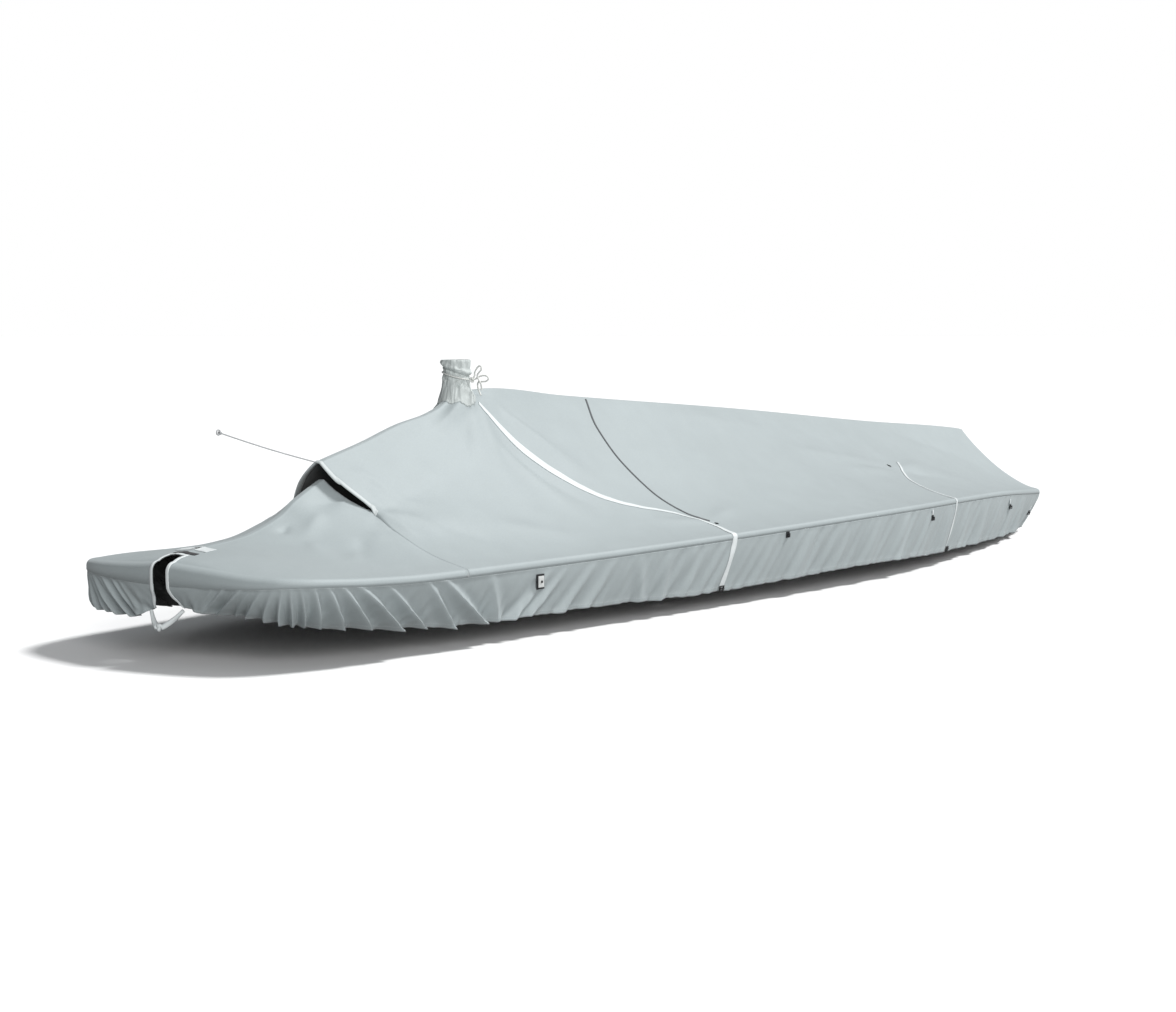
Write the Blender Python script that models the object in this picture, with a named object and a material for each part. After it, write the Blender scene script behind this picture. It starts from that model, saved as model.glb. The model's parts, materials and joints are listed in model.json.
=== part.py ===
"""Fitted cover with a collar, a vent hood and gathered skirts: cloth, tapes, ties and small fittings.

Metres, +Z up. The origin is on the collar's axis, just under the cloth where the collar leaves it. +X runs aft to
the stern end, -Y is the port side. Inside the functions a place on the cover is given as aft (distance from the bow
edge), out (distance from the centreline, port negative) and high (height above the sheer datum); place() turns the
three into the frame of the part.
"""

import bisect
import math

import bmesh
import bpy
import numpy as np
from mathutils import Vector
from mathutils.bvhtree import BVHTree

# ---- driving dimensions -------------------------------------------------------------------------------------
LENGTH = 6.10            # bow edge to stern edge
COLLAR_AFT = 1.60        # bow edge to collar axis
DATUM_DROP = 0.60        # origin to sheer datum
CLOTH = 0.002            # thickness of the coated cloth
SEAM_GAP = 0.0003        # between two pieces that are sewn edge to edge
SKIRT_GAP = 0.0008       # between the top's edge and the skirt, which leans in
VENT_FADE = 0.25         # the rows of the top follow the bend of the slit over this distance
VENT_GAP = 0.0010        # between the bow panel and the top panels, beside the vent
LAP = 0.008              # upright strip below the rolled edge, down to the skirt seam
RIDGE_HALF = 0.012       # half width of the flat strip along the ridge seam
COLLAR_HOLE = 0.050      # radius of the hole in the top panels
PEAK_LIFT = 0.055        # the cloth is drawn up this much beside the collar
PEAK_REACH = 0.130       # and fades into the drape over this distance
STERN_CORNER = 0.06      # radius of the stern corners in plan
STERN_HOLLOW = 0.07      # how far the ridge end stands forward of the stern corners

VENT_AFT = 0.80          # bow edge to the middle of the vent slit
VENT_SWEEP = 0.065       # the slit's ends lie this far aft of its middle
VENT_HALF = 0.190        # half length of the slit
VENT_LIFT = 0.072        # how high the hood's lip stands over the cloth ahead of it
VENT_RUN = 0.60          # distance over which the hood fades into the top
VENT_OVERHANG = 0.008    # the lip reaches this far forward at the middle
VENT_LEAN = 0.25         # the hood is blown up this much more to starboard, and less to port
VENT_TUCK = 0.010        # and the cloth under it reaches this far aft

NOTCH_HALF = 0.032       # half width of the bow notch at the rim
NOTCH_FLARE = 0.030      # more at the hem
NOTCH_AFT = 0.085        # bow edge to the head of the notch
BOW_FADE = 0.12          # the rows of the bow panel follow the round of the bow over this distance
NOTCH_FADE = 0.40        # the skirt's columns are even again this far along the rim

TAPE = 0.0015            # thickness of tapes and webbing
TAPE_LIFT = 0.0020       # tapes ride this far over the cloth
SKIRT_LIFT = 0.0025      # the same on the gathered skirt
SEAT = 0.0008            # fittings stand this far off the highest cloth under them

CORD_SIDES = 6           # facets of a cord
CUTTER_TALL = 0.5        # height of the prisms that cut the openings

PORT, STARBOARD = -1, 1
SIDES = ((PORT, "port"), (STARBOARD, "starboard"))

# ---- tables -------------------------------------------------------------------------------------------------
RIM = np.array((         # aft, half breadth, sheer height: the outer edge of the top
    (0.00, 0.000, 0.034), (0.02, 0.235, 0.036), (0.05, 0.370, 0.038), (0.10, 0.480, 0.038), (0.20, 0.560, 0.034),
    (0.40, 0.615, 0.023), (0.70, 0.645, 0.013), (1.30, 0.690, 0.010), (2.40, 0.800, 0.020), (3.60, 0.880, 0.036),
    (4.90, 0.730, 0.012), (6.10, 0.460, -0.060)))
ROLL = np.array((        # aft, radius over which the cloth turns down at the rim
    (0.00, 0.032), (0.05, 0.028), (0.10, 0.022), (0.25, 0.018), (1.30, 0.018), (2.40, 0.015), (6.10, 0.015)))
SPINE = np.array((       # aft, height on the centreline
    (0.00, 0.060), (0.06, 0.088), (0.20, 0.106), (0.40, 0.128), (0.49, 0.152), (0.59, 0.190), (0.66, 0.235),
    (0.80, 0.300), (1.04, 0.395), (1.25, 0.480), (1.465, 0.540), (1.60, 0.600), (1.79, 0.612), (2.29, 0.568),
    (3.65, 0.462), (4.92, 0.350), (5.97, 0.266), (6.10, 0.245)))
CROWN = np.array((       # aft, dome of the cloth across, where nothing lifts it
    (0.00, 0.000), (0.06, 0.030), (0.20, 0.046), (0.45, 0.045), (0.60, 0.035), (0.80, 0.040), (1.60, 0.050),
    (3.00, 0.050), (4.90, 0.045), (6.10, 0.030)))
HOLLOW = np.array((      # aft, how strongly the cloth sags between ridge and rim (1 is straight)
    (0.00, 1.6), (0.45, 2.3), (0.60, 2.5), (0.80, 2.0), (1.30, 1.7), (1.70, 1.9), (6.10, 1.9)))
HEM = np.array((         # distance along the rim, height of the hem, how far it is drawn in under the rim
    (0.05, -0.080, 0.050), (0.11, -0.090, 0.054), (0.29, -0.110, 0.062), (0.47, -0.128, 0.062),
    (0.80, -0.157, 0.055), (0.99, -0.178, 0.046), (1.36, -0.200, 0.036), (1.93, -0.200, 0.034),
    (2.73, -0.215, 0.032), (3.84, -0.200, 0.030), (4.64, -0.222, 0.034), (5.34, -0.237, 0.040),
    (6.14, -0.256, 0.048), (6.60, -0.262, 0.060)))
BOW_SAG = (0.24, 0.17, 0.034)     # the starboard hem is deeper here: along the rim, half width, by how much
BOW_SLACK = (0.45, 0.30, 0.055)   # and less drawn in
STERN_RAKE = 0.08        # the hem of the transom panel stands this far forward of its top

# folds of the skirt, as outward ridges: distance along the rim at the top and at the hem, half width, height
FOLDS = (
    (0.238, 0.125, 0.022, 0.012), (0.281, 0.153, 0.020, 0.014), (0.351, 0.204, 0.024, 0.016),
    (0.390, 0.255, 0.020, 0.010), (0.431, 0.315, 0.026, 0.014), (0.468, 0.386, 0.024, 0.012),
    (0.499, 0.459, 0.022, 0.014), (0.524, 0.530, 0.020, 0.016), (0.558, 0.591, 0.020, 0.014),
    (0.603, 0.655, 0.022, 0.018), (0.653, 0.754, 0.026, 0.018), (0.710, 0.865, 0.028, 0.020),
    (0.777, 1.010, 0.034, 0.020), (0.900, 1.140, 0.030, 0.014), (1.095, 1.270, 0.030, 0.016),
    (1.179, 1.418, 0.034, 0.020), (1.421, 1.502, 0.030, 0.010), (1.757, 1.572, 0.030, 0.016),
    (1.847, 1.662, 0.026, 0.014), (1.997, 1.837, 0.030, 0.014), (2.107, 1.977, 0.028, 0.014),
    (2.257, 2.287, 0.030, 0.010), (2.437, 2.407, 0.030, 0.012), (2.617, 2.557, 0.030, 0.010))
AFT_FOLDS = (3.04, 6.34, 13)      # the smaller slanted folds further aft: first, last, number of them
AFT_FOLD_SLANT = 0.070            # their hem ends lie this far forward of their tops
AFT_FOLD_HALF = 0.062
AFT_FOLD_HEIGHTS = (0.008, 0.013, 0.007, 0.011, 0.014, 0.006, 0.012)   # taken in turn

# how finely the cloth is laid out
COLUMN_SHARES = (0.07, 0.15, 0.23, 0.32, 0.46, 0.62, 0.80, 1.0)   # columns of the top, ridge to rolled edge
ROWS_AHEAD = (0.92, 0.99, 1.08, 1.21, 1.34, 1.45, 1.53, 1.60, 1.67)   # rows from the vent to the collar
ROWS_BEHIND = (1.76, 5.93, 26)                              # rows aft of the collar: first, last, number
BOW_ROWS = 13
SKIRT_SHARES = (0.0, 0.08, 0.50, 1.0)                       # rows of the skirts, seam to hem
SKIRT_FINE = 1.60                                           # the bow part has the closer columns
SKIRT_FINE_COLUMNS = 50
SKIRT_COLUMNS = 62
STERN_SEAM = 0.02                                           # skirt to transom seam, ahead of the corner

# soft folds of the top: start aft, start out, end aft, end out, half width, height (out is to either side)
TOP_FOLDS = (
    (1.68, 0.060, 2.25, 0.420, 0.070, 0.012), (1.56, 0.080, 1.36, 0.460, 0.065, 0.009),
    (0.90, 0.290, 1.55, 0.480, 0.075, 0.012), (0.84, 0.300, 0.78, 0.570, 0.060, 0.009),
    (4.50, 0.340, 3.20, 0.300, 0.090, 0.011), (4.70, 0.360, 5.30, 0.560, 0.090, 0.010))

# tape routes over the top, port side: aft, out, width
SIDE_TAPE = ((1.655, 0.068, 0.010), (1.692, 0.105, 0.018), (1.768, 0.192, 0.026), (1.882, 0.297, 0.028),
             (2.022, 0.411, 0.024), (2.170, 0.485, 0.015), (2.330, 0.552, 0.012), (2.385, 0.610, 0.012),
             (2.422, 0.660, 0.014), (2.430, 0.705, 0.018), (2.418, 0.752, 0.024))
SIDE_TAPE_DOWN = (2.849, 2.799, 0.028)         # distance along the rim at the top and at the hem, width
REAR_TAPE = ((4.665, 0.335, 0.010), (4.560, 0.420, 0.012), (4.455, 0.520, 0.012), (4.410, 0.630, 0.012),
             (4.390, 0.700, 0.014), (4.382, 0.752, 0.015))
REAR_TAPE_DOWN = (4.827, 4.787, 0.018)
CORDED_SEAM = ((2.445, 0.020), (2.380, 0.130), (2.352, 0.280), (2.356, 0.420), (2.396, 0.570), (2.448, 0.650))
CORDED_SEAM_WIDTH = 0.009
SIDE_HOLE = (2.462, 0.674, 0.009)              # aft, out, radius
REAR_HOLE = (4.520, 0.364, 0.011)

PATCH = (0.185, 0.012, 0.052, 0.150)           # patch with a slot: aft, out of its centre, size aft, size across
SLOT = (0.028, 0.038)                          # the slot in it: size aft, size across
STRAP = (0.118, -0.010, 0.022, 0.105)          # short black strap ahead of it, laid out as the patch is
BINDING = 0.013                                # width of the notch and vent bindings
NOSE = (0.047, 0.020)                          # aft and high of the axis round which the bow's edge turns

# skirt fittings: distance along the rim, distance below the seam, with a loop; sizes are outward, along, up
HOOKS = ((3.210, 0.012, False), (4.485, 0.046, True), (5.780, 0.058, True), (6.430, 0.100, True))
HOOK_SIZE = (0.012, 0.020, 0.026)
LOOP_SIZE = (0.002, 0.013, 0.024)
PLATE = (1.682, 0.050)
PLATE_SIZE = (0.004, 0.040, 0.056)
PLATE_FACE = (0.003, 0.030, 0.042)
PLATE_STUD = (0.005, 0.010, 0.010)
BUCKLE_SIZE = (0.009, 0.030, 0.024)

# collar: height at the knot, height on the far side, outer radius
COLLAR = ((0.024, 0.026, 0.0575), (0.036, 0.050, 0.0550), (0.046, 0.076, 0.0525), (0.064, 0.094, 0.0525),
          (0.080, 0.104, 0.0545), (0.106, 0.118, 0.0575), (0.133, 0.133, 0.0600))
COLLAR_FOOT = 0.068      # radius of the foot that lies on the top panels
COLLAR_HEEL = 0.060      # radius at which the foot turns up
COLLAR_SIDES = 24
COLLAR_GATHER = 0.0025   # depth of its gathers
COLLAR_WAIST = (2, 3)    # rows of the table that the drawcord presses flat
DRAWCORD = (0.055, 0.085, 0.0560, 0.005)       # height at the knot, on the far side, radius to its middle, cord
KNOT_ANGLE = math.radians(-71.5)               # direction of the knot from the collar axis
KNOT_RADIUS = 0.0675
KNOT_SIZE = (0.013, 0.020, 0.022)              # across the collar, along it, upright
TIE_CORD = 0.005

# tie ends, from the knot: outwards from the collar, sideways, up
TIE_LOOP = ((0.012, 0.002, 0.002), (0.024, 0.006, 0.010), (0.042, 0.006, 0.016), (0.060, 0.002, 0.014),
            (0.069, -0.002, 0.004), (0.060, -0.004, -0.006), (0.042, -0.001, -0.008), (0.025, 0.005, -0.010),
            (0.018, 0.012, -0.020), (0.020, 0.012, -0.034), (0.026, 0.009, -0.048), (0.034, 0.006, -0.062))
TIE_TOP = ((0.010, 0.000, 0.016), (0.012, -0.004, 0.028), (0.022, -0.009, 0.044), (0.034, -0.013, 0.054),
           (0.044, -0.016, 0.050), (0.043, -0.017, 0.038), (0.034, -0.015, 0.029), (0.026, -0.012, 0.018),
           (0.028, -0.010, 0.004), (0.036, -0.009, -0.010), (0.041, -0.008, -0.026), (0.042, -0.008, -0.042))

VENT_LINE_END = (0.302, 0.0, 0.501)            # aft, out, high of the hitch
VENT_LINE_CORD = 0.005
VENT_LINE_SAG = 0.004
HITCH_RADIUS = 0.009

HEM_KNOT = (-0.004, 0.0, -0.148)               # aft, out, high of the knot under the bow
HEM_KNOT_SIZE = (0.016, 0.022, 0.018)
HEM_STRAP = 0.022


# ---- numbers and places -------------------------------------------------------------------------------------
def smooth(knots, values, at):
    """Read a table as a smooth curve that never overshoots its rows."""
    knots, values, at = (np.asarray(part, float) for part in (knots, values, at))
    steps = np.diff(knots)
    slopes = np.diff(values) / steps
    with np.errstate(divide="ignore", invalid="ignore"):
        mean = 2 * slopes[:-1] * slopes[1:] / (slopes[:-1] + slopes[1:])
    ends = np.concatenate((slopes[:1], np.where(slopes[:-1] * slopes[1:] > 0, mean, 0), slopes[-1:]))
    at = np.clip(at, knots[0], knots[-1])
    row = np.clip(np.searchsorted(knots, at) - 1, 0, len(steps) - 1)
    part = (at - knots[row]) / steps[row]
    return (values[row] * (1 + 2 * part) * (1 - part) ** 2 + ends[row] * steps[row] * part * (1 - part) ** 2
            + values[row + 1] * part ** 2 * (3 - 2 * part) + ends[row + 1] * steps[row] * part ** 2 * (part - 1))


def half_breadth(aft):
    """Half breadth of the rim; the square root keeps the bow blunt."""
    return smooth(np.sqrt(RIM[:, 0] / LENGTH), RIM[:, 1], np.sqrt(np.clip(aft, 0, None) / LENGTH))


def sheer(aft):
    """Height of the rim."""
    return smooth(RIM[:, 0], RIM[:, 2], aft)


def roll_radius(aft):
    """Radius of the turn at the rim."""
    return smooth(ROLL[:, 0], ROLL[:, 1], aft)


def ramp(value):
    """Ease from 0 to 1."""
    value = np.clip(value, 0, 1)
    return value * value * (3 - 2 * value)


def top_fold_height(aft, out):
    """Soft folds of the top at a place."""
    total = np.zeros(np.broadcast(aft, out).shape)
    for start_aft, start_out, end_aft, end_out, half, high in TOP_FOLDS:
        run_aft, run_out = end_aft - start_aft, end_out - start_out
        run = math.hypot(run_aft, run_out)
        along = ((aft - start_aft) * run_aft + (np.abs(out) - start_out) * run_out) / run ** 2
        across = ((aft - start_aft) * run_out - (np.abs(out) - start_out) * run_aft) / run
        taper = np.clip(along, 0, 1) ** 0.5 * (1 - ramp(along)) * 1.6
        total = total + high * taper * np.exp(-(across / half) ** 2)
    return total * ramp((np.abs(out) - RIDGE_HALF) / 0.06)


def collar_peak(aft, out):
    """The cloth is drawn up beside the collar; the ridge itself is not changed."""
    reach = np.exp(-((aft - COLLAR_AFT) ** 2 + out ** 2) / PEAK_REACH ** 2)
    return PEAK_LIFT * reach * ramp((np.abs(out) - RIDGE_HALF) / 0.05)


def cloth_height(aft, out):
    """Height of the draped cloth from the ridge to the rim, without the hood."""
    reach = half_breadth(aft)
    share = np.clip((np.abs(out) - RIDGE_HALF) / np.maximum(reach - RIDGE_HALF, 0.01), 0, 1)
    dome = smooth(CROWN[:, 0], CROWN[:, 1], aft)
    rise = smooth(SPINE[:, 0], SPINE[:, 1], aft) - sheer(aft) - dome
    drape = (1 - share) ** smooth(HOLLOW[:, 0], HOLLOW[:, 1], aft)
    return sheer(aft) + dome * (1 - share ** 2) + rise * drape + top_fold_height(aft, out) + collar_peak(aft, out)


def slit_aft(out):
    """The line of the slit, which bends aft to its ends and then runs straight to the rim."""
    return VENT_AFT + VENT_SWEEP * np.clip(np.abs(out) / VENT_HALF, 0, 1) ** 2


def hood_height(aft, out):
    """Extra height of the hood aft of the slit; out is negative to port here."""
    across = np.clip(1 - (np.asarray(out) / (VENT_HALF + 0.02)) ** 2, 0, 1) ** 0.75
    along = np.clip(1 - (np.asarray(aft) - slit_aft(out)) / VENT_RUN, 0, 1) ** 1.3
    return VENT_LIFT * across * along * (1 + VENT_LEAN * np.asarray(out) / VENT_HALF)


def place(aft, out, high):
    """A place on the cover in the frame of the part."""
    return Vector((float(aft) - COLLAR_AFT, float(out), float(high) - DATUM_DROP))


class Rim:
    """The rim of one side in plan, from the bow to the stern centre, with its outward directions."""

    def __init__(self):
        side_aft = (LENGTH - STERN_CORNER) * np.linspace(0, 1, 2400) ** 2
        side_out = half_breadth(side_aft)
        turn = np.linspace(0, math.pi / 2, 60)[1:]
        corner_aft = side_aft[-1] + STERN_CORNER * np.sin(turn)
        corner_out = side_out[-1] - STERN_CORNER + STERN_CORNER * np.cos(turn)
        self.corner_out = corner_out[-1]
        stern_out = np.linspace(self.corner_out, 0, 200)[1:]
        stern_aft = LENGTH - STERN_HOLLOW * np.cos(math.pi / 2 * stern_out / self.corner_out) ** 2
        self.aft = np.concatenate((side_aft, corner_aft, stern_aft))
        self.out = np.concatenate((side_out, corner_out, stern_out))
        self.run = np.concatenate(([0], np.cumsum(np.hypot(np.diff(self.aft), np.diff(self.out)))))
        self.corner_run = self.run[len(side_aft) - 1]
        along_aft, along_out = np.gradient(self.aft, self.run), np.gradient(self.out, self.run)
        size = np.hypot(along_aft, along_out)
        self.normal_aft, self.normal_out = -along_out / size, along_aft / size
        self.inner_aft = self.aft - self.normal_aft * roll_radius(self.aft)
        self.inner_out = self.out - self.normal_out * roll_radius(self.aft)

    def at(self, run):
        """Plan place and outward direction at a distance along the rim."""
        return [float(np.interp(run, self.run, column))
                for column in (self.aft, self.out, self.normal_aft, self.normal_out)]

    def inner_half(self, aft):
        """Half breadth of the top panels, inside the rolled edge."""
        sides = slice(0, np.searchsorted(self.run, self.corner_run + STERN_CORNER * math.pi / 2))
        return np.interp(aft, self.inner_aft[sides], self.inner_out[sides])

    def nearest(self, aft, out):
        """Distance along the rim of the inner-edge point closest to a plan place."""
        row = int(np.argmin((self.inner_aft - aft) ** 2 + (self.inner_out - out) ** 2))
        ahead = (aft - self.inner_aft[row]) * self.normal_out[row]
        return float(self.run[row] + ahead - (out - self.inner_out[row]) * self.normal_aft[row])

    def inner_nose(self, out):
        """How far aft the inner edge lies at a distance from the centreline, across the bow."""
        return float(np.interp(out, self.inner_out[:600], self.inner_aft[:600]))


RIM_LINE = Rim()


def rim_height(run):
    """Height of the top's edge at a distance along the rim, also across the stern."""
    aft, out = RIM_LINE.at(run)[:2]
    if run <= RIM_LINE.corner_run:
        return float(sheer(aft))
    return float(cloth_height(np.array(aft), np.array(out)))


def seam_height(run):
    """Height of the skirt seam at a distance along the rim."""
    return rim_height(run) - float(roll_radius(RIM_LINE.at(run)[0])) - LAP


def across(start, end):
    """Distances from the centreline at which a row of the top has its points."""
    first = start + RIDGE_HALF
    return [start, first] + [first + (end - first) * share for share in COLUMN_SHARES]


def lip_share(out):
    """1 at the middle of the vent, 0 at the ends of its slit."""
    return max(0.0, 1 - (out / (VENT_HALF - 0.01)) ** 2) ** 1.5


def main_rows():
    """Where the rows of a top panel meet the rim, from the vent to the stern."""
    start = LENGTH - STERN_CORNER
    reach = STERN_CORNER - float(roll_radius(LENGTH))
    corner = [start + reach * math.sin(math.radians(turn)) for turn in (0, 30, 60, 90)]
    return [VENT_AFT + VENT_SWEEP, *ROWS_AHEAD, *np.linspace(*ROWS_BEHIND), *corner]


def top_row(aft_edge, side, first_row):
    """One row of a top panel, as aft, out, high."""
    reach = float(RIM_LINE.inner_half(aft_edge))
    stern = float(ramp((aft_edge - LENGTH + 1.0) / 0.99))
    row = []
    for out in across(SEAM_GAP / 2, reach):
        aft = aft_edge - STERN_HOLLOW * stern * math.cos(math.pi / 2 * out / reach) ** 2
        sweep = float(slit_aft(out)) - VENT_AFT - VENT_SWEEP
        aft += sweep * max(0.0, 1 - (aft_edge - VENT_AFT - VENT_SWEEP) / VENT_FADE)
        if first_row:
            aft += VENT_GAP / 2 - VENT_OVERHANG * lip_share(out)
        high = float(cloth_height(np.array(aft), np.array(out)) + hood_height(aft, side * out))
        row.append((aft, side * out, high))
    return row


def bow_rows():
    """Rows of the bow panel, from the rolled front edge to the vent, as aft, out, high."""
    first = float(RIM_LINE.inner_aft[0])
    steps = np.linspace(0.14, 1, BOW_ROWS)
    last = VENT_AFT + VENT_SWEEP
    front = first + (last - first) * float(steps[0]) ** 2
    rows = []
    for step in steps:
        aft_edge = first + (last - first) * step ** 2
        outs = across(0.0, float(RIM_LINE.inner_half(aft_edge)))
        row = []
        for out in [-value for value in outs[:0:-1]] + outs:
            nose = max(0.0, 1 - (aft_edge - front) / BOW_FADE) * (front - RIM_LINE.inner_nose(abs(out)))
            sweep = float(slit_aft(out)) - last
            aft = aft_edge - max(0.0, nose) + sweep * max(0.0, 1 - (last - aft_edge) / VENT_FADE)
            if step == 1:
                aft += VENT_TUCK * lip_share(abs(out)) - VENT_GAP / 2
            row.append((aft, out, float(cloth_height(np.array(aft), np.array(out)))))
        rows.append(row)
    return rows


def edge_runs():
    """Distances along the rim at which the edge of the top has its points, bow to stern centre."""
    rows = bow_rows()
    middle = len(rows[0]) // 2
    tops = [top_row(aft, STARBOARD, False) for aft in main_rows()]
    inner = rows[0][middle:] + [row[-1] for row in rows[1:]]
    inner += [row[-1] for row in tops] + tops[-1][-2::-1]
    return sorted({RIM_LINE.nearest(aft, out) for aft, out, high in inner})


EDGE_RUNS = edge_runs()


def fold_rows():
    """All skirt folds: the hand-placed ones, then the smaller ones further aft."""
    yield from FOLDS
    first, last, count = AFT_FOLDS
    for index in range(count):
        hem = first + (last - first) * index / (count - 1)
        high = AFT_FOLD_HEIGHTS[index % len(AFT_FOLD_HEIGHTS)]
        yield hem + AFT_FOLD_SLANT, hem, AFT_FOLD_HALF, high


def fold_depth(run, share):
    """Outward stand of the skirt's folds at a distance along the rim and a share of its depth."""
    grown = max(0.0, share - SKIRT_SHARES[1]) ** 0.8
    return sum(high * grown * math.exp(-((run - top - (hem - top) * share) / half) ** 2)
               for top, hem, half, high in fold_rows())


def seam_chord(run):
    """The skirt's top edge, straight between the places where the top's edge has its points."""
    row = min(max(bisect.bisect_right(EDGE_RUNS, run), 1), len(EDGE_RUNS) - 1)
    start, end = EDGE_RUNS[row - 1:row + 1]
    part = (run - start) / (end - start)
    ends = [(*RIM_LINE.at(at)[:2], seam_height(at)) for at in (start, end)]
    aft, out, high = (ends[0][column] + (ends[1][column] - ends[0][column]) * part for column in range(3))
    return aft, out, high - SKIRT_GAP


def skirt_place(side, run, share, lift=0.0):
    """A place on the skirt: share 0 is its seam, 1 its hem; lift is outward of the cloth."""
    normal_aft, normal_out = RIM_LINE.at(run)[2:]
    aft, out, seam = seam_chord(run)
    hem, tuck = (float(smooth(HEM[:, 0], HEM[:, column], run)) for column in (1, 2))
    if side == STARBOARD:
        hem -= BOW_SAG[2] * math.exp(-((run - BOW_SAG[0]) / BOW_SAG[1]) ** 2)
        tuck -= BOW_SLACK[2] * math.exp(-((run - BOW_SLACK[0]) / BOW_SLACK[1]) ** 2)
    stand = lift - tuck * share ** 1.5 + fold_depth(run, share)
    rake = STERN_RAKE * float(ramp((run - RIM_LINE.corner_run + 0.5) / 0.5)) * share ** 1.2
    return place(aft + normal_aft * stand - rake, side * (out + normal_out * stand), seam + (hem - seam) * share)


def rolled_edge(aft, out, high, run, side):
    """Three places that carry an inner-edge point of the top over the rim and down to the seam."""
    normal_aft, normal_out = RIM_LINE.at(run)[2:]
    radius = float(roll_radius(RIM_LINE.at(run)[0]))
    steps = [(math.sin(turn), high - radius * (1 - math.cos(turn)))
             for turn in (math.radians(40), math.radians(90))]
    places = [place(aft + normal_aft * radius * reach, out + side * normal_out * radius * reach, level)
              for reach, level in steps]
    rim_aft, rim_out = RIM_LINE.at(run)[:2]
    return places + [place(rim_aft, side * rim_out, seam_height(run))]


# ---- building blocks ----------------------------------------------------------------------------------------
def finish(name, colour, roughness, metallic=0.0):
    """A Principled material."""
    material = bpy.data.materials.new(name)
    material.use_nodes = True
    shader = material.node_tree.nodes["Principled BSDF"]
    shader.inputs["Base Color"].default_value = (*colour, 1.0)
    shader.inputs["Roughness"].default_value = roughness
    shader.inputs["Metallic"].default_value = metallic
    return material


def add_object(name, data, material):
    """Link new mesh or curve data to the scene as a named object."""
    piece = bpy.data.objects.new(name, data)
    bpy.context.scene.collection.objects.link(piece)
    data.materials.append(material)
    return piece


def add_mesh(name, points, faces, material, smooth_angle=40):
    """A mesh object from points and faces."""
    mesh = bpy.data.meshes.new(name)
    mesh.from_pydata([tuple(point) for point in points], [], faces)
    mesh.shade_smooth()
    mesh.set_sharp_from_angle(angle=math.radians(smooth_angle))
    return add_object(name, mesh, material)


def thicken(piece, thickness, outwards=False):
    """Give a sheet its thickness, inwards from its outer face or outwards from its inner face."""
    solid = piece.modifiers.new("Thickness", "SOLIDIFY")
    solid.thickness = thickness
    solid.offset = 1.0 if outwards else -1.0
    return piece


def halves(quad, flip):
    """The two triangles of a quad, so that a twisted one bends along a known diagonal."""
    first, second, third, fourth = quad
    pair = ((first, second, third), (first, third, fourth))
    return [face[::-1] for face in pair] if flip else list(pair)


def grid_faces(rows, columns, flip, closed=False):
    """Faces of a grid of points; closed joins the last column to the first."""
    faces = []
    for row in range(rows - 1):
        for column in range(columns if closed else columns - 1):
            following = (column + 1) % columns
            quad = (row * columns + column, row * columns + following,
                    (row + 1) * columns + following, (row + 1) * columns + column)
            faces += halves(quad, flip)
    return faces


def add_sheet(name, rows, material, thickness, flip=False, outwards=False, closed=False):
    """A sheet through rows of places."""
    points = [point for row in rows for point in row]
    piece = add_mesh(name, points, grid_faces(len(rows), len(rows[0]), flip, closed), material)
    return thicken(piece, thickness, outwards)


def smooth_route(points, count):
    """Places read at even steps from a smooth curve through the route's own points."""
    points = np.array([tuple(point) for point in points], float)
    run = np.concatenate(([0], np.cumsum(np.linalg.norm(np.diff(points, axis=0), axis=1))))
    padded = np.vstack((2 * points[0] - points[1], points, 2 * points[-1] - points[-2]))
    result = []
    for at in np.linspace(0, run[-1], count):
        row = min(int(np.searchsorted(run, at, "right")) - 1, len(run) - 2)
        part = (at - run[row]) / (run[row + 1] - run[row])
        before, start, end, after = padded[row:row + 4]
        result.append(Vector(0.5 * (2 * start + (end - before) * part
                                    + (2 * before - 5 * start + 4 * end - after) * part ** 2
                                    + (3 * start - before - 3 * end + after) * part ** 3)))
    return result


def tube_faces(rings, sides, closed):
    """Faces of a tube; an open one gets a flat end each."""
    faces = grid_faces(rings, sides, False, closed=True)
    if closed:
        last = (rings - 1) * sides
        faces += [(last + side, last + (side + 1) % sides, (side + 1) % sides, side) for side in range(sides)]
    else:
        faces.append(tuple(range(sides))[::-1])
        faces.append(tuple((rings - 1) * sides + side for side in range(sides)))
    return faces


def add_cord(name, points, diameter, material, steps, closed=False):
    """A cord along a route, as a tube of round section."""
    route = [Vector(point) for point in points] if closed else smooth_route(points, steps)
    count = len(route)
    rings, across_cord = [], None
    for index, point in enumerate(route):
        before = route[index - 1] if index or closed else point
        after = route[(index + 1) % count] if index < count - 1 or closed else point
        along = (after - before).normalized()
        if across_cord is None:
            across_cord = along.orthogonal().normalized()
        across_cord = (across_cord - along * across_cord.dot(along)).normalized()
        other = along.cross(across_cord)
        rings.append([point + (across_cord * math.cos(turn) + other * math.sin(turn)) * diameter / 2
                      for turn in (2 * math.pi * side / CORD_SIDES for side in range(CORD_SIDES))])
    faces = tube_faces(count, CORD_SIDES, closed)
    return add_mesh(name, [point for ring in rings for point in ring], faces, material, 50)


def shape_points(shape, centre, size, axes):
    """Carry a unit shape to its place, size and directions, with its faces still outwards."""
    for vertex in shape.verts:
        vertex.co = centre + sum((axis * vertex.co[index] * size[index] for index, axis in enumerate(axes)),
                                 Vector())
    if axes[0].cross(axes[1]).dot(axes[2]) < 0:
        bmesh.ops.reverse_faces(shape, faces=shape.faces)


def add_block(name, centre, size, axes, bevel, material):
    """A bevelled block: size along each of three directions."""
    mesh = bpy.data.meshes.new(name)
    shape = bmesh.new()
    bmesh.ops.create_cube(shape, size=1.0)
    shape_points(shape, centre, size, axes)
    shape.to_mesh(mesh)
    shape.free()
    piece = add_object(name, mesh, material)
    edge = piece.modifiers.new("Edge", "BEVEL")
    edge.width = bevel
    edge.segments = 1
    return piece


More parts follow.
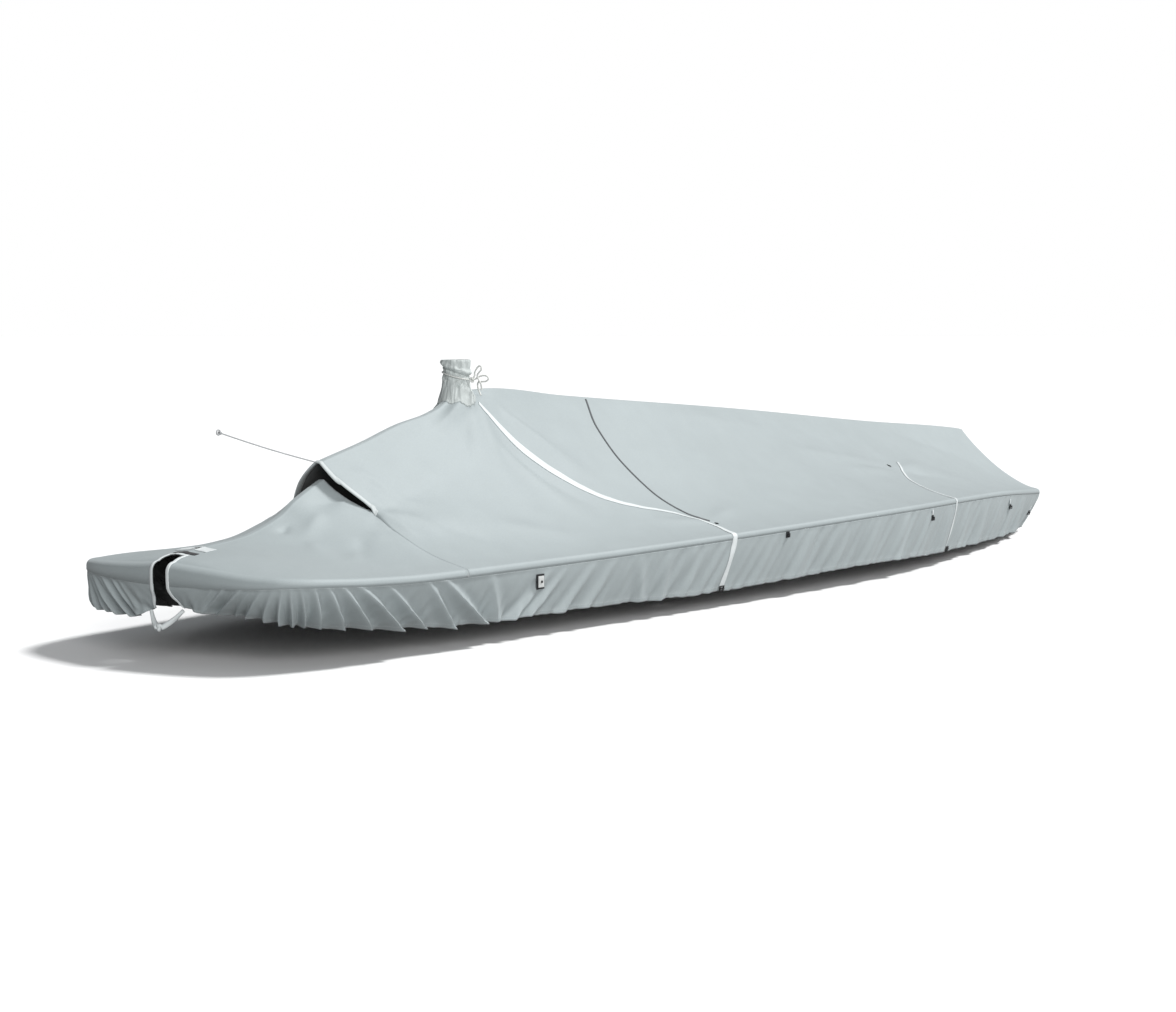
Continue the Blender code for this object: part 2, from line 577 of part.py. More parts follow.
def add_lump(name, centre, size, axes, material):
    """A rounded lump, such as a knot."""
    mesh = bpy.data.meshes.new(name)
    shape = bmesh.new()
    bmesh.ops.create_icosphere(shape, subdivisions=2, radius=0.5)
    shape_points(shape, centre, size, axes)
    shape.to_mesh(mesh)
    shape.free()
    mesh.shade_smooth()
    return add_object(name, mesh, material)


def add_cutter(name, sides, radius_x, radius_y, centre, height, turn=0.0):
    """A hidden upright prism that cuts an opening."""
    mesh = bpy.data.meshes.new(name)
    shape = bmesh.new()
    bmesh.ops.create_cone(shape, cap_ends=True, segments=sides, radius1=1.0, radius2=1.0, depth=height)
    reach = math.cos(math.pi / sides)
    for vertex in shape.verts:
        angle = math.atan2(vertex.co.y, vertex.co.x) + turn
        vertex.co.x, vertex.co.y = math.cos(angle) / reach * radius_x, math.sin(angle) / reach * radius_y
    shape.to_mesh(mesh)
    shape.free()
    cutter = bpy.data.objects.new(name, mesh)
    bpy.context.scene.collection.objects.link(cutter)
    cutter.location = centre
    cutter.hide_render = True
    cutter.display_type = "WIRE"
    return cutter


def cut(piece, cutter):
    """Cut an opening through a piece."""
    opening = piece.modifiers.new("Opening " + cutter.name, "BOOLEAN")
    opening.operation = "DIFFERENCE"
    opening.object = cutter


# ---- the cloth ----------------------------------------------------------------------------------------------
def build_panel(name, rows, edge, material, flip):
    """A panel of the top: its rows, and the rolled edge below the places whose numbers edge lists."""
    places = [point for row in rows for point in row]
    points = [place(*point) for point in places]
    faces = grid_faces(len(rows), len(rows[0]), flip)
    strips = [[], [], []]
    for number in edge:
        aft, out, high = places[number]
        run = RIM_LINE.nearest(aft, abs(out))
        for strip, point in zip(strips, rolled_edge(aft, out, high, run, PORT if out < 0 else STARBOARD)):
            strip.append(point)
    above = list(edge)
    for strip in strips:
        below = list(range(len(points), len(points) + len(strip)))
        points.extend(strip)
        for index in range(len(strip) - 1):
            faces += halves((above[index], above[index + 1], below[index + 1], below[index]), not flip)
        above = below
    return thicken(add_mesh(name, points, faces, material), CLOTH)


def build_top_panel(side, name, material):
    """One side of the top, from the vent to the stern, with its edge rolled over the rim and the stern."""
    rows = [top_row(aft, side, index == 0) for index, aft in enumerate(main_rows())]
    columns = len(rows[0])
    beside = [row * columns + columns - 1 for row in range(len(rows))]
    stern = [(len(rows) - 1) * columns + column for column in range(columns - 2, -1, -1)]
    return build_panel("top_panel_" + name, rows, beside + stern, material, side == STARBOARD)


def build_bow_panel(material):
    """The cloth ahead of the vent, over the bow; its aft edge is tucked in under the hood."""
    rows = bow_rows()
    columns, count = len(rows[0]), len(rows)
    port = [row * columns for row in range(count - 1, 0, -1)]
    starboard = [row * columns + columns - 1 for row in range(1, count)]
    return build_panel("bow_panel", rows, port + list(range(columns)) + starboard, material, True)


def notch_run(share):
    """Distance along the rim of the notch's edge at a share of the skirt's depth."""
    return NOTCH_HALF + NOTCH_FLARE * share ** 2


def skirt_sheet_run(station, share):
    """Distance along the rim of a column of the skirt: the columns fan out beside the notch."""
    fan = max(0.0, 1 - (station - NOTCH_HALF) / NOTCH_FADE)
    return station + NOTCH_FLARE * share ** 2 * fan


def build_skirt(side, name, material):
    """The gathered strip below the rim, from the bow notch to the stern corner."""
    end = RIM_LINE.corner_run - STERN_SEAM
    stations = [*np.linspace(NOTCH_HALF, SKIRT_FINE, SKIRT_FINE_COLUMNS),
                *np.linspace(SKIRT_FINE, end, SKIRT_COLUMNS)[1:]]
    rows = [[skirt_place(side, skirt_sheet_run(station, share), share) for share in SKIRT_SHARES]
            for station in stations]
    return add_sheet("skirt_" + name, rows, material, CLOTH, flip=side == STARBOARD)


def build_transom(material):
    """The cloth that hangs behind the stern edge and round both corners."""
    start = RIM_LINE.corner_run - STERN_SEAM + SEAM_GAP
    stations = [start, *(run for run in EDGE_RUNS if run > start + 0.002)]
    rows = [[skirt_place(PORT, run, share) for share in SKIRT_SHARES] for run in stations]
    rows += [[skirt_place(STARBOARD, run, share) for share in SKIRT_SHARES] for run in stations[-2::-1]]
    return add_sheet("transom_panel", rows, material, CLOTH)


# ---- laying pieces on the cloth -------------------------------------------------------------------------------
class Cloth:
    """The outer faces of some sheets, for other pieces to lie on."""

    def __init__(self, pieces):
        points, faces = [], []
        for piece in pieces:
            start = len(points)
            points.extend(vertex.co.copy() for vertex in piece.data.vertices)
            faces.extend(tuple(start + index for index in face.vertices) for face in piece.data.polygons)
        self.tree = BVHTree.FromPolygons(points, faces)

    def hit(self, start, way, lift):
        """Where a ray meets the cloth, stood off by lift; None where it misses."""
        point, normal = self.tree.ray_cast(start, way)[:2]
        if point is None:
            return None
        return point + (normal if normal.dot(way) < 0 else -normal) * lift

    def below(self, aft, out, lift):
        """The cloth straight below a plan place."""
        return self.hit(place(aft, out, 2.0), Vector((0, 0, -1)), lift)

    def beside(self, side, run, share, lift):
        """The skirt at a distance along the rim and a share of its depth."""
        normal_aft, normal_out = RIM_LINE.at(run)[2:]
        way = Vector((-normal_aft, -side * normal_out, 0))
        return self.hit(skirt_place(side, run, share, 0.15), way, lift)

    def round_rim(self, side, run, turn, lift):
        """The rolled edge at a distance along the rim: turn 0 faces up and 90 degrees outwards."""
        aft, out, normal_aft, normal_out = RIM_LINE.at(run)
        radius = float(roll_radius(aft))
        centre = place(aft - normal_aft * radius, side * (out - normal_out * radius), rim_height(run) - radius)
        reach = math.sin(math.radians(turn))
        way = Vector((normal_aft * reach, side * normal_out * reach, math.cos(math.radians(turn))))
        return self.hit(centre + way * 0.2, -way, lift)

    def seat(self, centre, size, axes, extra=0.0):
        """Where the centre of a block goes once its back rests on the highest cloth behind it."""
        outward, first, second = axes
        behind = (self.hit(centre + outward * 0.1 + first * size[1] * one / 2 + second * size[2] * two / 2,
                           -outward, 0.0) for one in (-1, 0, 1) for two in (-1, 0, 1))
        stand = max((point - centre).dot(outward) for point in behind if point is not None)
        return centre + outward * (stand + SEAT + extra + size[0] / 2)


def build_collar(material, cloth):
    """The gathered sleeve, its foot spread on the top panels."""
    angles = [2 * math.pi * (step + 0.5) / COLLAR_SIDES for step in range(COLLAR_SIDES)]
    rows = [[cloth.below(COLLAR_AFT + radius * math.cos(angle), radius * math.sin(angle), lift + CLOTH)
             for angle in angles] for radius, lift in ((COLLAR_FOOT, 0.0035), (COLLAR_HEEL, 0.0070))]
    for number, (near, far, radius) in enumerate(COLLAR):
        depth = 0.0 if number in COLLAR_WAIST else COLLAR_GATHER
        row = []
        for step, angle in enumerate(angles):
            reach = radius + depth * (0.5 if step % 2 else -0.5)
            height = near + (far - near) * (1 - math.cos(angle - KNOT_ANGLE)) / 2
            row.append(Vector((reach * math.cos(angle), reach * math.sin(angle), height)))
        rows.append(row)
    return add_sheet("collar", rows, material, CLOTH, closed=True)


# ---- what is sewn and tied on ---------------------------------------------------------------------------------
def route_rows(route, count):
    """Rows of a route table read at even steps along it."""
    table = np.array(route, float)
    run = np.concatenate(([0], np.cumsum(np.hypot(np.diff(table[:, 0]), np.diff(table[:, 1])))))
    at = np.linspace(0, run[-1], count)
    return np.stack([smooth(run, table[:, column], at) for column in range(table.shape[1])], axis=1)


def tape_over_top(route, side, count, cloth):
    """Both edges of a tape over the top."""
    rows = route_rows(route, count)
    along = np.gradient(rows[:, :2], axis=0)
    along /= np.linalg.norm(along, axis=1)[:, None]
    return [[cloth.below(aft - sign * run_out * width / 2, side * (out + sign * run_aft * width / 2), TAPE_LIFT)
             for sign in (-1, 1)] for (aft, out, width), (run_aft, run_out) in zip(rows, along)]


def tape_down_side(side, down, cloth):
    """Both edges of a tape where it turns over the rim and runs down the skirt to the hem."""
    top_run, hem_run, width = down
    edges = [[cloth.round_rim(side, top_run + sign * width / 2, turn, TAPE_LIFT) for sign in (1, -1)]
             for turn in (5, 30, 55, 80)]
    for share in (0.05, 0.22, 0.4, 0.6, 0.8, 0.985):
        centre = top_run + (hem_run - top_run) * share
        edges.append([cloth.beside(side, centre + sign * width / 2, share, SKIRT_LIFT) for sign in (1, -1)])
    return edges


def build_tape(name, side, route, down, material, cloth):
    """A closure tape over the top, over the rim and down to the hem."""
    rows = tape_over_top(route, side, 26, cloth) + tape_down_side(side, down, cloth)
    return add_sheet(name, rows, material, TAPE, flip=side == STARBOARD, outwards=True)


def build_corded_seam(side, name, material, cloth):
    """The thin dark line from the ridge to the side hole."""
    route = [(*row, CORDED_SEAM_WIDTH) for row in CORDED_SEAM]
    return add_sheet("corded_seam_" + name, tape_over_top(route, side, 26, cloth), material, TAPE,
                     flip=side == STARBOARD, outwards=True)


def build_patch(name, size, steps, material, cloth):
    """A patch that lies on the bow panel; size is aft, out of its centre, then length aft and across."""
    aft, out, long, wide = size
    rows = [[cloth.below(aft + long * (row / steps[0] - 0.5), out + wide * (column / steps[1] - 0.5), TAPE_LIFT)
             for column in range(steps[1] + 1)] for row in range(steps[0] + 1)]
    return add_sheet(name, rows, material, TAPE, flip=True, outwards=True)


def notch_side(side, cloth):
    """Both edges of the notch binding on one side, from the hem up to the head."""
    edges = (0.0015, 0.0015 + BINDING)
    rows = [[cloth.beside(side, notch_run(share) + edge, share, SKIRT_LIFT) for edge in edges]
            for share in (0.985, 0.75, 0.5, 0.25, 0.06)]
    nose = place(NOSE[0], side * NOTCH_HALF, NOSE[1])
    for turn in range(92, 1, -6):
        way = Vector((-math.sin(math.radians(turn)), 0, math.cos(math.radians(turn))))
        rows.append([cloth.hit(nose + Vector((0, side * edge, 0)) + way * 0.2, -way, TAPE_LIFT)
                     for edge in edges])
    for share in (0.3, 0.6, 1.0):
        aft = NOSE[0] + (NOTCH_AFT - NOSE[0]) * share
        rows.append([cloth.below(aft + edge * share, side * (NOTCH_HALF + edge), TAPE_LIFT) for edge in edges])
    rows.append([cloth.below(NOTCH_AFT + edge, side * NOTCH_HALF * 0.5, TAPE_LIFT) for edge in edges])
    return rows


def build_notch_binding(material, cloth):
    """White binding up one side of the bow notch, across its head and down the other side."""
    rows = notch_side(PORT, cloth) + notch_side(STARBOARD, cloth)[::-1]
    return add_sheet("notch_binding", rows, material, TAPE, outwards=True)


def build_vent_binding(material):
    """The light binding along the lip of the hood."""
    front, behind = [], []
    edge = VENT_AFT + VENT_SWEEP
    for side in (PORT, STARBOARD):
        for points, aft in ((front, edge), (behind, ROWS_AHEAD[0])):
            row = [place(*point) for point in top_row(aft, side, aft == edge)
                   if abs(point[1]) < VENT_HALF + 0.03]
            points.extend(row[::-1] if side == PORT else row)
    rows = []
    for number, (near, far) in enumerate(zip(front, behind)):
        along = (far - near).normalized()
        beside = front[min(number + 1, len(front) - 1)] - front[max(number - 1, 0)]
        lift = along.cross(beside).normalized() * TAPE_LIFT
        rows.append([near + along * 0.001 + lift, near + along * BINDING + lift])
    return add_sheet("vent_binding", rows, material, TAPE, outwards=True)


def build_vent_line(material):
    """The taut line that holds the hood up, and the hitch at its end."""
    aft = VENT_AFT - VENT_OVERHANG
    lip = float(cloth_height(np.array(aft), np.array(0.0)) + hood_height(aft, 0.0))
    start, end = place(aft - 0.010, 0.0, lip + 0.004), place(*VENT_LINE_END)
    route = [start.lerp(end, share) - Vector((0, 0, VENT_LINE_SAG * math.sin(math.pi * share)))
             for share in (0.0, 0.17, 0.33, 0.5, 0.67, 0.83, 1.0)]
    add_cord("vent_line", route, VENT_LINE_CORD, material, 14)
    along = (end - start).normalized()
    other = along.cross(Vector((0, 1, 0))).normalized()
    centre = end + along * (HITCH_RADIUS + VENT_LINE_CORD / 2 + SEAM_GAP * 3)
    ring = [centre + (along * math.cos(turn) + other * math.sin(turn)) * HITCH_RADIUS
            for turn in (2 * math.pi * step / 14 for step in range(14))]
    add_cord("vent_hitch", ring, VENT_LINE_CORD, material, 14, closed=True)


def build_collar_ties(material):
    """The drawcord round the collar, its knot and the two looped ends."""
    near, far, radius, cord = DRAWCORD
    gap = math.radians(4)
    route = []
    for share in np.linspace(0, 1, 29):
        swing = gap + (2 * math.pi - 2 * gap) * float(share)
        route.append(Vector((radius * math.cos(KNOT_ANGLE + swing), radius * math.sin(KNOT_ANGLE + swing),
                             near + (far - near) * (1 - math.cos(swing)) / 2)))
    add_cord("collar_drawcord", route, cord, material, 29)
    outward = Vector((math.cos(KNOT_ANGLE), math.sin(KNOT_ANGLE), 0))
    axes = (outward, Vector((-outward.y, outward.x, 0)), Vector((0, 0, 1)))
    centre = outward * KNOT_RADIUS + axes[2] * near
    add_lump("collar_knot", centre, KNOT_SIZE, axes, material)
    for name, table in (("collar_tie_lower", TIE_LOOP), ("collar_tie_upper", TIE_TOP)):
        route = [centre + outward * out + axes[1] * aside + axes[2] * high for out, aside, high in table]
        add_cord(name, route, TIE_CORD, material, 32)


def skirt_frame(side, run, depth):
    """A place on the skirt below its seam and the directions there: outward, aft, up."""
    share = depth / (seam_height(run) - float(smooth(HEM[:, 0], HEM[:, 1], run)))
    normal_aft, normal_out = RIM_LINE.at(run)[2:]
    level = Vector((normal_aft, side * normal_out, 0)).normalized()
    up = skirt_place(side, run, max(share - 0.1, 0.0)) - skirt_place(side, run, share + 0.1)
    up = (up - level.cross(Vector((0, 0, 1))) * up.dot(level.cross(Vector((0, 0, 1))))).normalized()
    aft = level.cross(up).normalized()
    return skirt_place(side, run, share), (up.cross(aft).normalized(), aft, up)


def build_skirt_fittings(side, name, black, white, pale, cloth):
    """Hooks with their loops, and the light plate in its dark frame."""
    for index, (run, depth, looped) in enumerate(HOOKS, start=1):
        centre, axes = skirt_frame(side, run, depth)
        add_block(f"hook_{name}_{index}", cloth.seat(centre, HOOK_SIZE, axes), HOOK_SIZE, axes, 0.004, black)
        if looped:
            seated = cloth.seat(centre + axes[2] * (HOOK_SIZE[2] + LOOP_SIZE[2] + 0.004) / 2, LOOP_SIZE, axes)
            add_block(f"hook_loop_{name}_{index}", seated, LOOP_SIZE, axes, 0.0005, white)
    centre, axes = skirt_frame(side, *PLATE)
    seated = cloth.seat(centre, PLATE_SIZE, axes)
    add_block("plate_frame_" + name, seated, PLATE_SIZE, axes, 0.0012, black)
    face = seated + axes[0] * ((PLATE_SIZE[0] + PLATE_FACE[0]) / 2 + SEAM_GAP)
    add_block("plate_face_" + name, face, PLATE_FACE, axes, 0.0008, pale)
    stud = face + axes[0] * ((PLATE_FACE[0] + PLATE_STUD[0]) / 2 + SEAM_GAP)
    add_lump("plate_stud_" + name, stud, PLATE_STUD, axes, black)


def build_buckle(name, side, down, material, cloth):
    """The black buckle at the hem end of a tape."""
    run = down[1]
    centre, axes = skirt_frame(side, run, seam_height(run) - float(smooth(HEM[:, 0], HEM[:, 1], run)) - 0.013)
    seated = cloth.seat(centre, BUCKLE_SIZE, axes, TAPE + SEAT)
    add_block(name, seated, BUCKLE_SIZE, axes, 0.0025, material)


def build_hem_tie(material):
    """The webbing that draws the two lower corners of the notch together, and its knot."""
    knot = place(*HEM_KNOT)
    upright = (Vector((1, 0, 0)), Vector((0, 1, 0)), Vector((0, 0, 1)))
    add_lump("hem_knot", knot, HEM_KNOT_SIZE, upright, material)
    for side, name in SIDES:
        corner = skirt_place(side, notch_run(1.0) + 0.012, 1.0, 0.010) + Vector((-0.002, 0, -0.006))
        end = knot + Vector((0.0, side * (HEM_KNOT_SIZE[1] / 2 + 0.002), 0.0))
        rows = []
        for share in np.linspace(0, 1, 7):
            middle = corner.lerp(end, float(share)) + Vector((0, 0, -0.006 * math.sin(math.pi * share)))
            wide = Vector((0.25, side * 0.35, 1.0)).normalized() * HEM_STRAP / 2 * (1 - 0.45 * float(share))
            rows.append([middle - wide, middle + wide])
        add_sheet("hem_strap_" + name, rows, material, TAPE, flip=side == STARBOARD, outwards=True)


# ---- the whole cover ----------------------------------------------------------------------------------------
def clear_scene():
    """Remove what the scene holds."""
    for existing in list(bpy.data.objects):
        bpy.data.objects.remove(existing, do_unlink=True)


def build_openings(panels, bow, patch):
    """The collar hole, the side and rear holes, the slot in the bow panel and the bow notch."""
    round_hole = add_cutter("collar_hole", 16, COLLAR_HOLE, COLLAR_HOLE, Vector(), CUTTER_TALL)
    for side, name in SIDES:
        cut(panels[side], round_hole)
        aft, out, radius = SIDE_HOLE
        centre = place(aft, side * out, float(cloth_height(np.array(aft), np.array(out))))
        cut(panels[side], add_cutter("side_hole_" + name, 12, radius, radius, centre, CUTTER_TALL))
    aft, out, radius = REAR_HOLE
    centre = place(aft, PORT * out, float(cloth_height(np.array(aft), np.array(out))))
    cut(panels[PORT], add_cutter("rear_hole", 12, radius, radius, centre, CUTTER_TALL))
    slot = add_cutter("bow_slot", 4, SLOT[0] / 2, SLOT[1] / 2, place(PATCH[0], PATCH[1], 0.1), CUTTER_TALL,
                      turn=math.pi / 4)
    cut(patch, slot)
    cut(bow, slot)
    reach = NOTCH_AFT + 0.1
    notch = add_cutter("bow_notch", 4, reach / 2, NOTCH_HALF, place(NOTCH_AFT - reach / 2, 0, 0), CUTTER_TALL,
                       turn=math.pi / 4)
    cut(bow, notch)


def build_cover():
    """Every piece of the cover."""
    fabric = finish("cover_cloth", (0.50, 0.53, 0.53), 0.72)
    sleeve = finish("collar_cloth", (0.47, 0.50, 0.49), 0.75)
    white = finish("white_tape", (0.84, 0.86, 0.85), 0.6)
    light = finish("light_binding", (0.66, 0.69, 0.69), 0.65)
    dark = finish("dark_cord", (0.10, 0.11, 0.115), 0.6)
    black = finish("black_plastic", (0.02, 0.02, 0.022), 0.4)
    pale = finish("pale_plastic", (0.72, 0.74, 0.73), 0.45)
    line = finish("light_line", (0.62, 0.63, 0.61), 0.7)

    bow = build_bow_panel(fabric)
    panels = {side: build_top_panel(side, name, fabric) for side, name in SIDES}
    skirts = {side: build_skirt(side, name, fabric) for side, name in SIDES}
    build_transom(fabric)
    build_collar(sleeve, Cloth(panels.values()))

    front = Cloth([bow, *skirts.values()])
    patch = build_patch("slot_patch", PATCH, (2, 6), white, front)
    build_patch("bow_strap", STRAP, (1, 5), black, front)
    build_openings(panels, bow, patch)
    build_notch_binding(white, front)
    build_hem_tie(white)

    for side, name in SIDES:
        cloth = Cloth([panels[side], skirts[side]])
        tape = build_tape("side_tape_" + name, side, SIDE_TAPE, SIDE_TAPE_DOWN, white, cloth)
        build_corded_seam(side, name, dark, cloth)
        build_skirt_fittings(side, name, black, white, pale, cloth)
        build_buckle("side_buckle_" + name, side, SIDE_TAPE_DOWN, black, Cloth([skirts[side], tape]))
    cloth = Cloth([panels[PORT], skirts[PORT]])
    tape = build_tape("rear_tape_port", PORT, REAR_TAPE, REAR_TAPE_DOWN, white, cloth)
    build_buckle("rear_buckle_port", PORT, REAR_TAPE_DOWN, black, Cloth([skirts[PORT], tape]))

    build_vent_binding(light)
    build_vent_line(line)
    build_collar_ties(line)


clear_scene()
build_cover()
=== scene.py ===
"""Looks of a fitted cover with a collar, a vent hood and gathered skirts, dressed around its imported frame.

Metres, in the frame of the part: +X runs aft, -Y is the port side, +Z is up, and the origin is on the axis of
the collar. A place on the cover is also given as aft (distance from the bow edge), out (distance from the
centreline, port negative) and high (height above the sheer datum). Distances along the rim start at the bow.
"""

from __future__ import annotations

import json
import logging
import math
from collections.abc import Callable, Iterable
from dataclasses import dataclass, field
from enum import Enum

import bmesh
import bpy
import numpy as np
from mathutils import Matrix, Vector
from mathutils.bvhtree import BVHTree

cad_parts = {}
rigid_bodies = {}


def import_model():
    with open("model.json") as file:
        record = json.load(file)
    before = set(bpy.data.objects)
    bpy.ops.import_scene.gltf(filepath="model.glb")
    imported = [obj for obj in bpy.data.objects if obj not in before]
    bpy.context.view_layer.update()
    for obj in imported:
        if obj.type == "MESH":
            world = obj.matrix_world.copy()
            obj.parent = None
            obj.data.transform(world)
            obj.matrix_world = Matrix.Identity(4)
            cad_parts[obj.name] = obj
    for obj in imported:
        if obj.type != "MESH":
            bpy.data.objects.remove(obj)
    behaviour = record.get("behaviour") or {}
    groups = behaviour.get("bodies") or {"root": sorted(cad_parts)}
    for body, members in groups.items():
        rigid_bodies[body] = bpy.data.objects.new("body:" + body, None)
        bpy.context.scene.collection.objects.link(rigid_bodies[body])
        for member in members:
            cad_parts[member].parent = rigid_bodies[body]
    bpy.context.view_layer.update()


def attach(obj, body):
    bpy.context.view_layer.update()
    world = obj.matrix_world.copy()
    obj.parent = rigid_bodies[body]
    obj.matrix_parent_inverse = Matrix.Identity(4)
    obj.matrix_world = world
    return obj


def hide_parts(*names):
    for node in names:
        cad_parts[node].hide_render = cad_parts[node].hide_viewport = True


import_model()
LOG = logging.getLogger("cover")

Row = tuple[float, ...]
Point = tuple[float, float, float]
Grid = np.ndarray
Piece = bpy.types.Object
Tree = bpy.types.NodeTree
Cloth = tuple[list, list]
UP = Vector((0, 0, 1))


class Side(Enum):
    """The two sides of the cover."""

    PORT = -1
    STARBOARD = 1

    @property
    def label(self) -> str:
        """The side's word in a piece's name."""
        return self.name.lower()


class Hold(Enum):
    """How a sheet is held."""

    STRETCHED = "stretched"
    GATHERED = "gathered"
    HUNG = "hung"


# ---- numbers ----
def smooth(knots: Grid, values: Grid, at: Grid | float) -> Grid:
    """Read a table as a smooth curve that never overshoots its rows.

    Args:
        knots: Places of the rows, rising.
        values: Values of the rows.
        at: Places to read.

    Returns:
        The values there.
    """
    knots, values, at = (np.asarray(part, float) for part in (knots, values, at))
    steps = np.diff(knots)
    slopes = np.diff(values) / steps
    with np.errstate(divide="ignore", invalid="ignore"):
        mean = 2 * slopes[:-1] * slopes[1:] / (slopes[:-1] + slopes[1:])
    ends = np.concatenate((slopes[:1], np.where(slopes[:-1] * slopes[1:] > 0, mean, 0), slopes[-1:]))
    at = np.clip(at, knots[0], knots[-1])
    row = np.clip(np.searchsorted(knots, at) - 1, 0, len(steps) - 1)
    part = (at - knots[row]) / steps[row]
    return (values[row] * (1 + 2 * part) * (1 - part) ** 2 + ends[row] * steps[row] * part * (1 - part) ** 2
            + values[row + 1] * part ** 2 * (3 - 2 * part)
            + ends[row + 1] * steps[row] * part ** 2 * (part - 1))


def ramp(value: Grid | float) -> Grid:
    """Ease from 0 to 1."""
    value = np.clip(value, 0, 1)
    return value * value * (3 - 2 * value)


def as_grid(points: Iterable[Vector | Point]) -> Grid:
    """Places as rows of numbers."""
    return np.array([tuple(point) for point in points])


def run_along(places: Grid) -> Grid:
    """Distance of each place of a line from its first."""
    return np.concatenate(([0], np.cumsum(np.linalg.norm(np.diff(places, axis=0), axis=1))))


def route_through(points: list[Vector], count: int) -> Grid:
    """Even steps along a smooth curve through a route's points.

    Args:
        points: Places on the route.
        count: Number of places wanted.

    Returns:
        The places, one a row.
    """
    points = as_grid(points)
    run = run_along(points)
    padded = np.vstack((2 * points[0] - points[1], points, 2 * points[-1] - points[-2]))
    places = []
    for at in np.linspace(0, run[-1], count):
        row = min(int(np.searchsorted(run, at, "right")) - 1, len(run) - 2)
        part = (at - run[row]) / (run[row + 1] - run[row])
        before, start, end, after = padded[row:row + 4]
        places.append(0.5 * (2 * start + (end - before) * part
                             + (2 * before - 5 * start + 4 * end - after) * part ** 2
                             + (3 * start - before - 3 * end + after) * part ** 3))
    return np.array(places)


def slack_line(start: Vector, end: Vector, sag: float, count: int) -> Grid:
    """Places along a line that sags a little between its ends."""
    return as_grid(start.lerp(end, float(share)) - UP * (sag * math.sin(math.pi * share))
                   for share in np.linspace(0, 1, count))


# ---- the form of the cover ----
LENGTH, COLLAR_AFT, DATUM_DROP = 6.10, 1.60, 0.60
LAP, RIDGE_HALF = 0.008, 0.012   # from the rolled edge down to the skirt seam, half of the flat ridge
PEAK_LIFT, PEAK_REACH = 0.055, 0.130
STERN_CORNER, STERN_HOLLOW, STERN_RAKE, STERN_SEAM = 0.06, 0.07, 0.08, 0.02
VENT_AFT, VENT_SWEEP, VENT_HALF, VENT_LIFT, VENT_RUN = 0.80, 0.065, 0.190, 0.072, 0.60
VENT_OVERHANG, VENT_LEAN, VENT_TUCK, VENT_FADE, VENT_GAP = 0.008, 0.25, 0.010, 0.25, 0.0010
NOTCH_HALF, NOTCH_FLARE, NOTCH_AFT, BOW_FADE, NOTCH_FADE = 0.032, 0.030, 0.085, 0.12, 0.40
HALF_GAP = 0.00015   # from the centreline to each top panel

# aft, half breadth, sheer height: the outer edge of the top
RIM = np.array((
    (0.0, 0.0, 0.034), (0.02, 0.235, 0.036), (0.05, 0.37, 0.038), (0.1, 0.48, 0.038),
    (0.2, 0.56, 0.034), (0.4, 0.615, 0.023), (0.7, 0.645, 0.013), (1.3, 0.69, 0.01),
    (2.4, 0.8, 0.02), (3.6, 0.88, 0.036), (4.9, 0.73, 0.012), (6.1, 0.46, -0.06)))
# aft, radius over which the cloth turns down at the rim
ROLL = np.array((
    (0.0, 0.032), (0.05, 0.028), (0.1, 0.022), (0.25, 0.018), (1.3, 0.018), (2.4, 0.015), (6.1, 0.015)))
# aft, height on the centreline
SPINE = np.array((
    (0.0, 0.06), (0.06, 0.088), (0.2, 0.106), (0.4, 0.128), (0.49, 0.152), (0.59, 0.19), (0.66, 0.235),
    (0.8, 0.3), (1.04, 0.395), (1.25, 0.48), (1.465, 0.54), (1.6, 0.6), (1.79, 0.612), (2.29, 0.568),
    (3.65, 0.462), (4.92, 0.35), (5.97, 0.266), (6.1, 0.245)))
# aft, dome of the cloth across, where nothing lifts it
CROWN = np.array((
    (0.0, 0.0), (0.06, 0.03), (0.2, 0.046), (0.45, 0.045), (0.6, 0.035), (0.8, 0.04), (1.6, 0.05),
    (3.0, 0.05), (4.9, 0.045), (6.1, 0.03)))
# aft, how strongly the cloth sags between ridge and rim (1 is straight)
SAG = np.array((
    (0.0, 1.6), (0.45, 2.3), (0.6, 2.5), (0.8, 2.0), (1.3, 1.7), (1.7, 1.9), (6.1, 1.9)))
# distance along the rim, height of the hem, how far it is drawn in under the rim
HEM = np.array((
    (0.05, -0.08, 0.05), (0.11, -0.09, 0.054), (0.29, -0.11, 0.062), (0.47, -0.128, 0.062),
    (0.8, -0.157, 0.055), (0.99, -0.178, 0.046), (1.36, -0.2, 0.036), (1.93, -0.2, 0.034),
    (2.73, -0.215, 0.032), (3.84, -0.2, 0.03), (4.64, -0.222, 0.034), (5.34, -0.237, 0.04),
    (6.14, -0.256, 0.048), (6.6, -0.262, 0.06)))
# the far bow hangs lower and looser here: distance along the rim, half width, by how much
BOW_SAG, BOW_SLACK = (0.24, 0.17, 0.034), (0.45, 0.30, 0.055)

